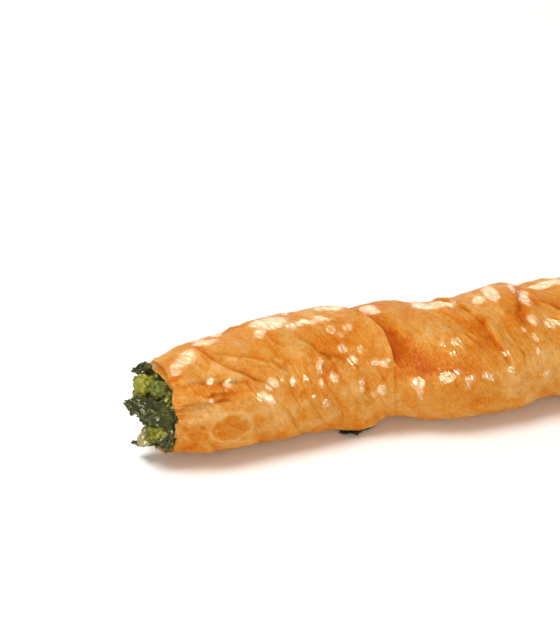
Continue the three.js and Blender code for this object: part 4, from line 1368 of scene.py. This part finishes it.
def leaf_material():
    """Cooked leaf: near-black green to yellow-green, wet, with paler veins."""
    n = Nodes(bpy.data.materials.new("cooked_leaf"))
    where = n.millimetres()
    patches = n.noise(where, 0.35, detail=4.0, roughness=0.65)
    mottle = n.noise(where, 1.3, detail=3.0, roughness=0.6)
    specks = n.noise(where, 3.0, detail=2.0, roughness=0.6)
    mixed = n.plus(
        n.attribute("green"),
        n.remap(patches, (0.35, 0.7), (-0.12, 0.3)),
        n.remap(mottle, NOISE_RANGE, (-0.12, 0.14)),
        (n.attribute("vein"), 0.14),
        n.remap(specks, (0.48, 0.7), (-0.06, 0.55)),
    )
    glaze = n.valleys(n.noise(where, 2.8, detail=3.0, roughness=0.6))
    n.shade({
        "Base Color": n.ramp(
            mixed,
            (0.0, 34, 38, 18),
            (0.22, 60, 64, 28),
            (0.45, 92, 94, 34),
            (0.65, 118, 116, 16),
            (0.85, 148, 138, 28),
            (1.0, 170, 158, 62),
        ),
        "Normal": n.bump(glaze, strength=1.0, distance=1.2),
        "Roughness": n.remap(mottle, NOISE_RANGE, (0.35, 0.55)),
        "Specular IOR Level": 0.1,
        "Coat Weight": 0.22,
        "Coat Roughness": 0.08,
        **soft(0.12, (0.5, 1.0, 0.2), 1.2),
    })
    return n.owner


def pulp_material():
    """Chopped leaf and stem pressed into soft lumps that let some light through."""
    n = Nodes(bpy.data.materials.new("spinach_pulp"))
    where = n.millimetres()
    mottle = n.noise(where, 0.7, detail=5.0, roughness=0.68)
    glaze = n.valleys(n.noise(where, 1.4, detail=3.0, roughness=0.6))
    n.shade({
        "Base Color": n.ramp(
            n.plus(n.attribute("green"), n.remap(mottle, NOISE_RANGE, (-0.4, 0.2))),
            (0.1, 44, 58, 12),
            (0.4, 84, 94, 10),
            (0.65, 132, 132, 18),
            (0.9, 172, 164, 44),
        ),
        "Normal": n.bump(glaze, strength=1.0, distance=0.6),
        "Roughness": n.remap(mottle, NOISE_RANGE, (0.32, 0.5)),
        "Specular IOR Level": 0.15,
        "Coat Weight": 0.25,
        "Coat Roughness": 0.1,
        **soft(0.3, (0.8, 1.0, 0.15), 1.5),
    })
    return n.owner


def stem_material():
    """Pale stem with fibres along it."""
    n = Nodes(bpy.data.materials.new("spinach_stem"))
    fibres = n.noise(n.scaled(n.millimetres(), (1, 1, 0.2)), 0.9)
    n.shade({
        "Base Color": n.ramp(fibres, (0.3, 112, 108, 44), (0.5, 150, 138, 78), (0.7, 176, 162, 106)),
        "Normal": n.bump(fibres, strength=0.4, distance=0.4),
        "Roughness": n.remap(fibres, NOISE_RANGE, (0.3, 0.5)),
        "Coat Weight": 0.4,
        "Coat Roughness": 0.12,
        **soft(0.3, (1.0, 0.9, 0.4), 2.0),
    })
    return n.owner


# ---------------------------------------------------------------- stage

FLOOR_HALF = 3000
FLOOR_DROP = 0.05  # how far the floor lies under the roll, so that the two don't meet in one plane

# Soft boxes in metres: the way to each, its distance, width and height, power in watts, colour.
LIGHTS_AIM = Vector((-0.04, 0, 0.02))
SOFTBOXES = {
    "key": ((-0.35, -0.06, 0.93), 0.9, (0.34, 0.3), 6.9, (1.0, 0.99, 0.97)),
    "rim": ((0.1, 0.9, 0.45), 1.1, (0.3, 0.12), 1.2, (1.0, 0.98, 0.95)),
    "sheen": ((0.21, 0.93, 0.3), 1.1, (1.1, 0.2), 13, (0.97, 0.98, 0.78)),
    "sparkle": ((-0.12, -1.0, 0.24), 1.1, (0.4, 0.56), 36, (0.96, 0.98, 0.72)),
    "glitter": ((-0.2, -1.0, 1.5), 1.1, (0.38, 0.38), 24, (0.95, 0.98, 0.68)),
    "front": ((-0.12, -1.0, 0.12), 1.1, (0.2, 0.14), 3, (1.0, 0.97, 0.92)),
}
GLEAMS = ("sheen", "sparkle", "glitter")  # seen in the gloss of the glaze and nowhere else
SKY_HEIGHTS, SKY_STRENGTHS = (0, 0.8), (0.75, 0.5)
SKY_COLOUR = (1.0, 0.915, 0.82, 1)

# The photograph's view, from the front left and above: degrees, and mm in the roll's own terms.
VIEW_AZIMUTH = -15.388
VIEW_ELEVATION = 37
VIEW_DISTANCE = 750
AIM_ALONG = 60
AIM_HEIGHT = 17.6
AIM_RIGHT = -22.296
AIM_UP = 19.712
LENS = 135.63
SENSOR_WIDTH = 36


def make_floor():
    near, far = -FLOOR_HALF, FLOOR_HALF
    corners = [(x, y, -FLOOR_DROP) for x, y in ((near, near), (far, near), (far, far), (near, far))]
    floor = add_mesh("floor", corners, [(0, 1, 2, 3)])
    n = Nodes(bpy.data.materials.new("white_floor"))
    n.shade({"Base Color": (0.93, 0.93, 0.93, OPAQUE), "Roughness": 0.9, "Specular IOR Level": 0.1})
    floor.data.materials.append(n.owner)
    floor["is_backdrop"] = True


def make_lights():
    for name, (direction, distance, size, power, colour) in SOFTBOXES.items():
        light = bpy.data.lights.new(name, "AREA")
        light.shape = "RECTANGLE"
        light.size, light.size_y = size
        light.energy = power
        light.color = colour
        lamp = bpy.data.objects.new(name, light)
        toward = Vector(direction).normalized()
        lamp.location = toward * distance + LIGHTS_AIM
        lamp.rotation_euler = toward.to_track_quat("Z", "Y").to_euler()
        lamp.visible_diffuse = name not in GLEAMS
        bpy.context.collection.objects.link(lamp)

    world = Nodes(bpy.data.worlds.new("studio"), "Background")
    direction = world.add("ShaderNodeTexCoord").outputs["Generated"]
    height = world.add("ShaderNodeSeparateXYZ", {"Vector": direction}).outputs["Z"]
    strength = world.remap(height, SKY_HEIGHTS, SKY_STRENGTHS, interpolation_type="SMOOTHSTEP")
    world.shade({"Color": SKY_COLOUR, "Strength": strength})
    bpy.context.scene.world = world.owner


def make_camera():
    azimuth, elevation = math.radians(VIEW_AZIMUTH), math.radians(VIEW_ELEVATION)
    back = Vector((
        math.sin(azimuth) * math.cos(elevation),
        -math.cos(azimuth) * math.cos(elevation),
        math.sin(elevation),
    ))
    right = Vector((math.cos(azimuth), math.sin(azimuth), 0))
    up = back.cross(right)
    aim = Vector((AIM_ALONG - ORIGIN_ALONG, -ORIGIN_OFFSET, AIM_HEIGHT)) + AIM_RIGHT * right + AIM_UP * up
    data = bpy.data.cameras.new("camera")
    data.lens = LENS
    data.sensor_width = SENSOR_WIDTH
    camera = bpy.data.objects.new("camera", data)
    camera.location = (aim + back * VIEW_DISTANCE) * MM
    camera.rotation_euler = back.to_track_quat("Z", "Y").to_euler()
    bpy.context.collection.objects.link(camera)
    bpy.context.scene.camera = camera


make_camera()
make_floor()
make_lights()
bpy.context.scene.view_settings.view_transform = "Standard"

pastry = make_pastry()
pastry.data.materials.append(pastry_material())
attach(pastry, "root")
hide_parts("pastry")

make_filling()

boxes = {"cad": cad_box, "visual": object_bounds()}
{k: [[float(c) for c in corner] for corner in v] for k, v in boxes.items()}
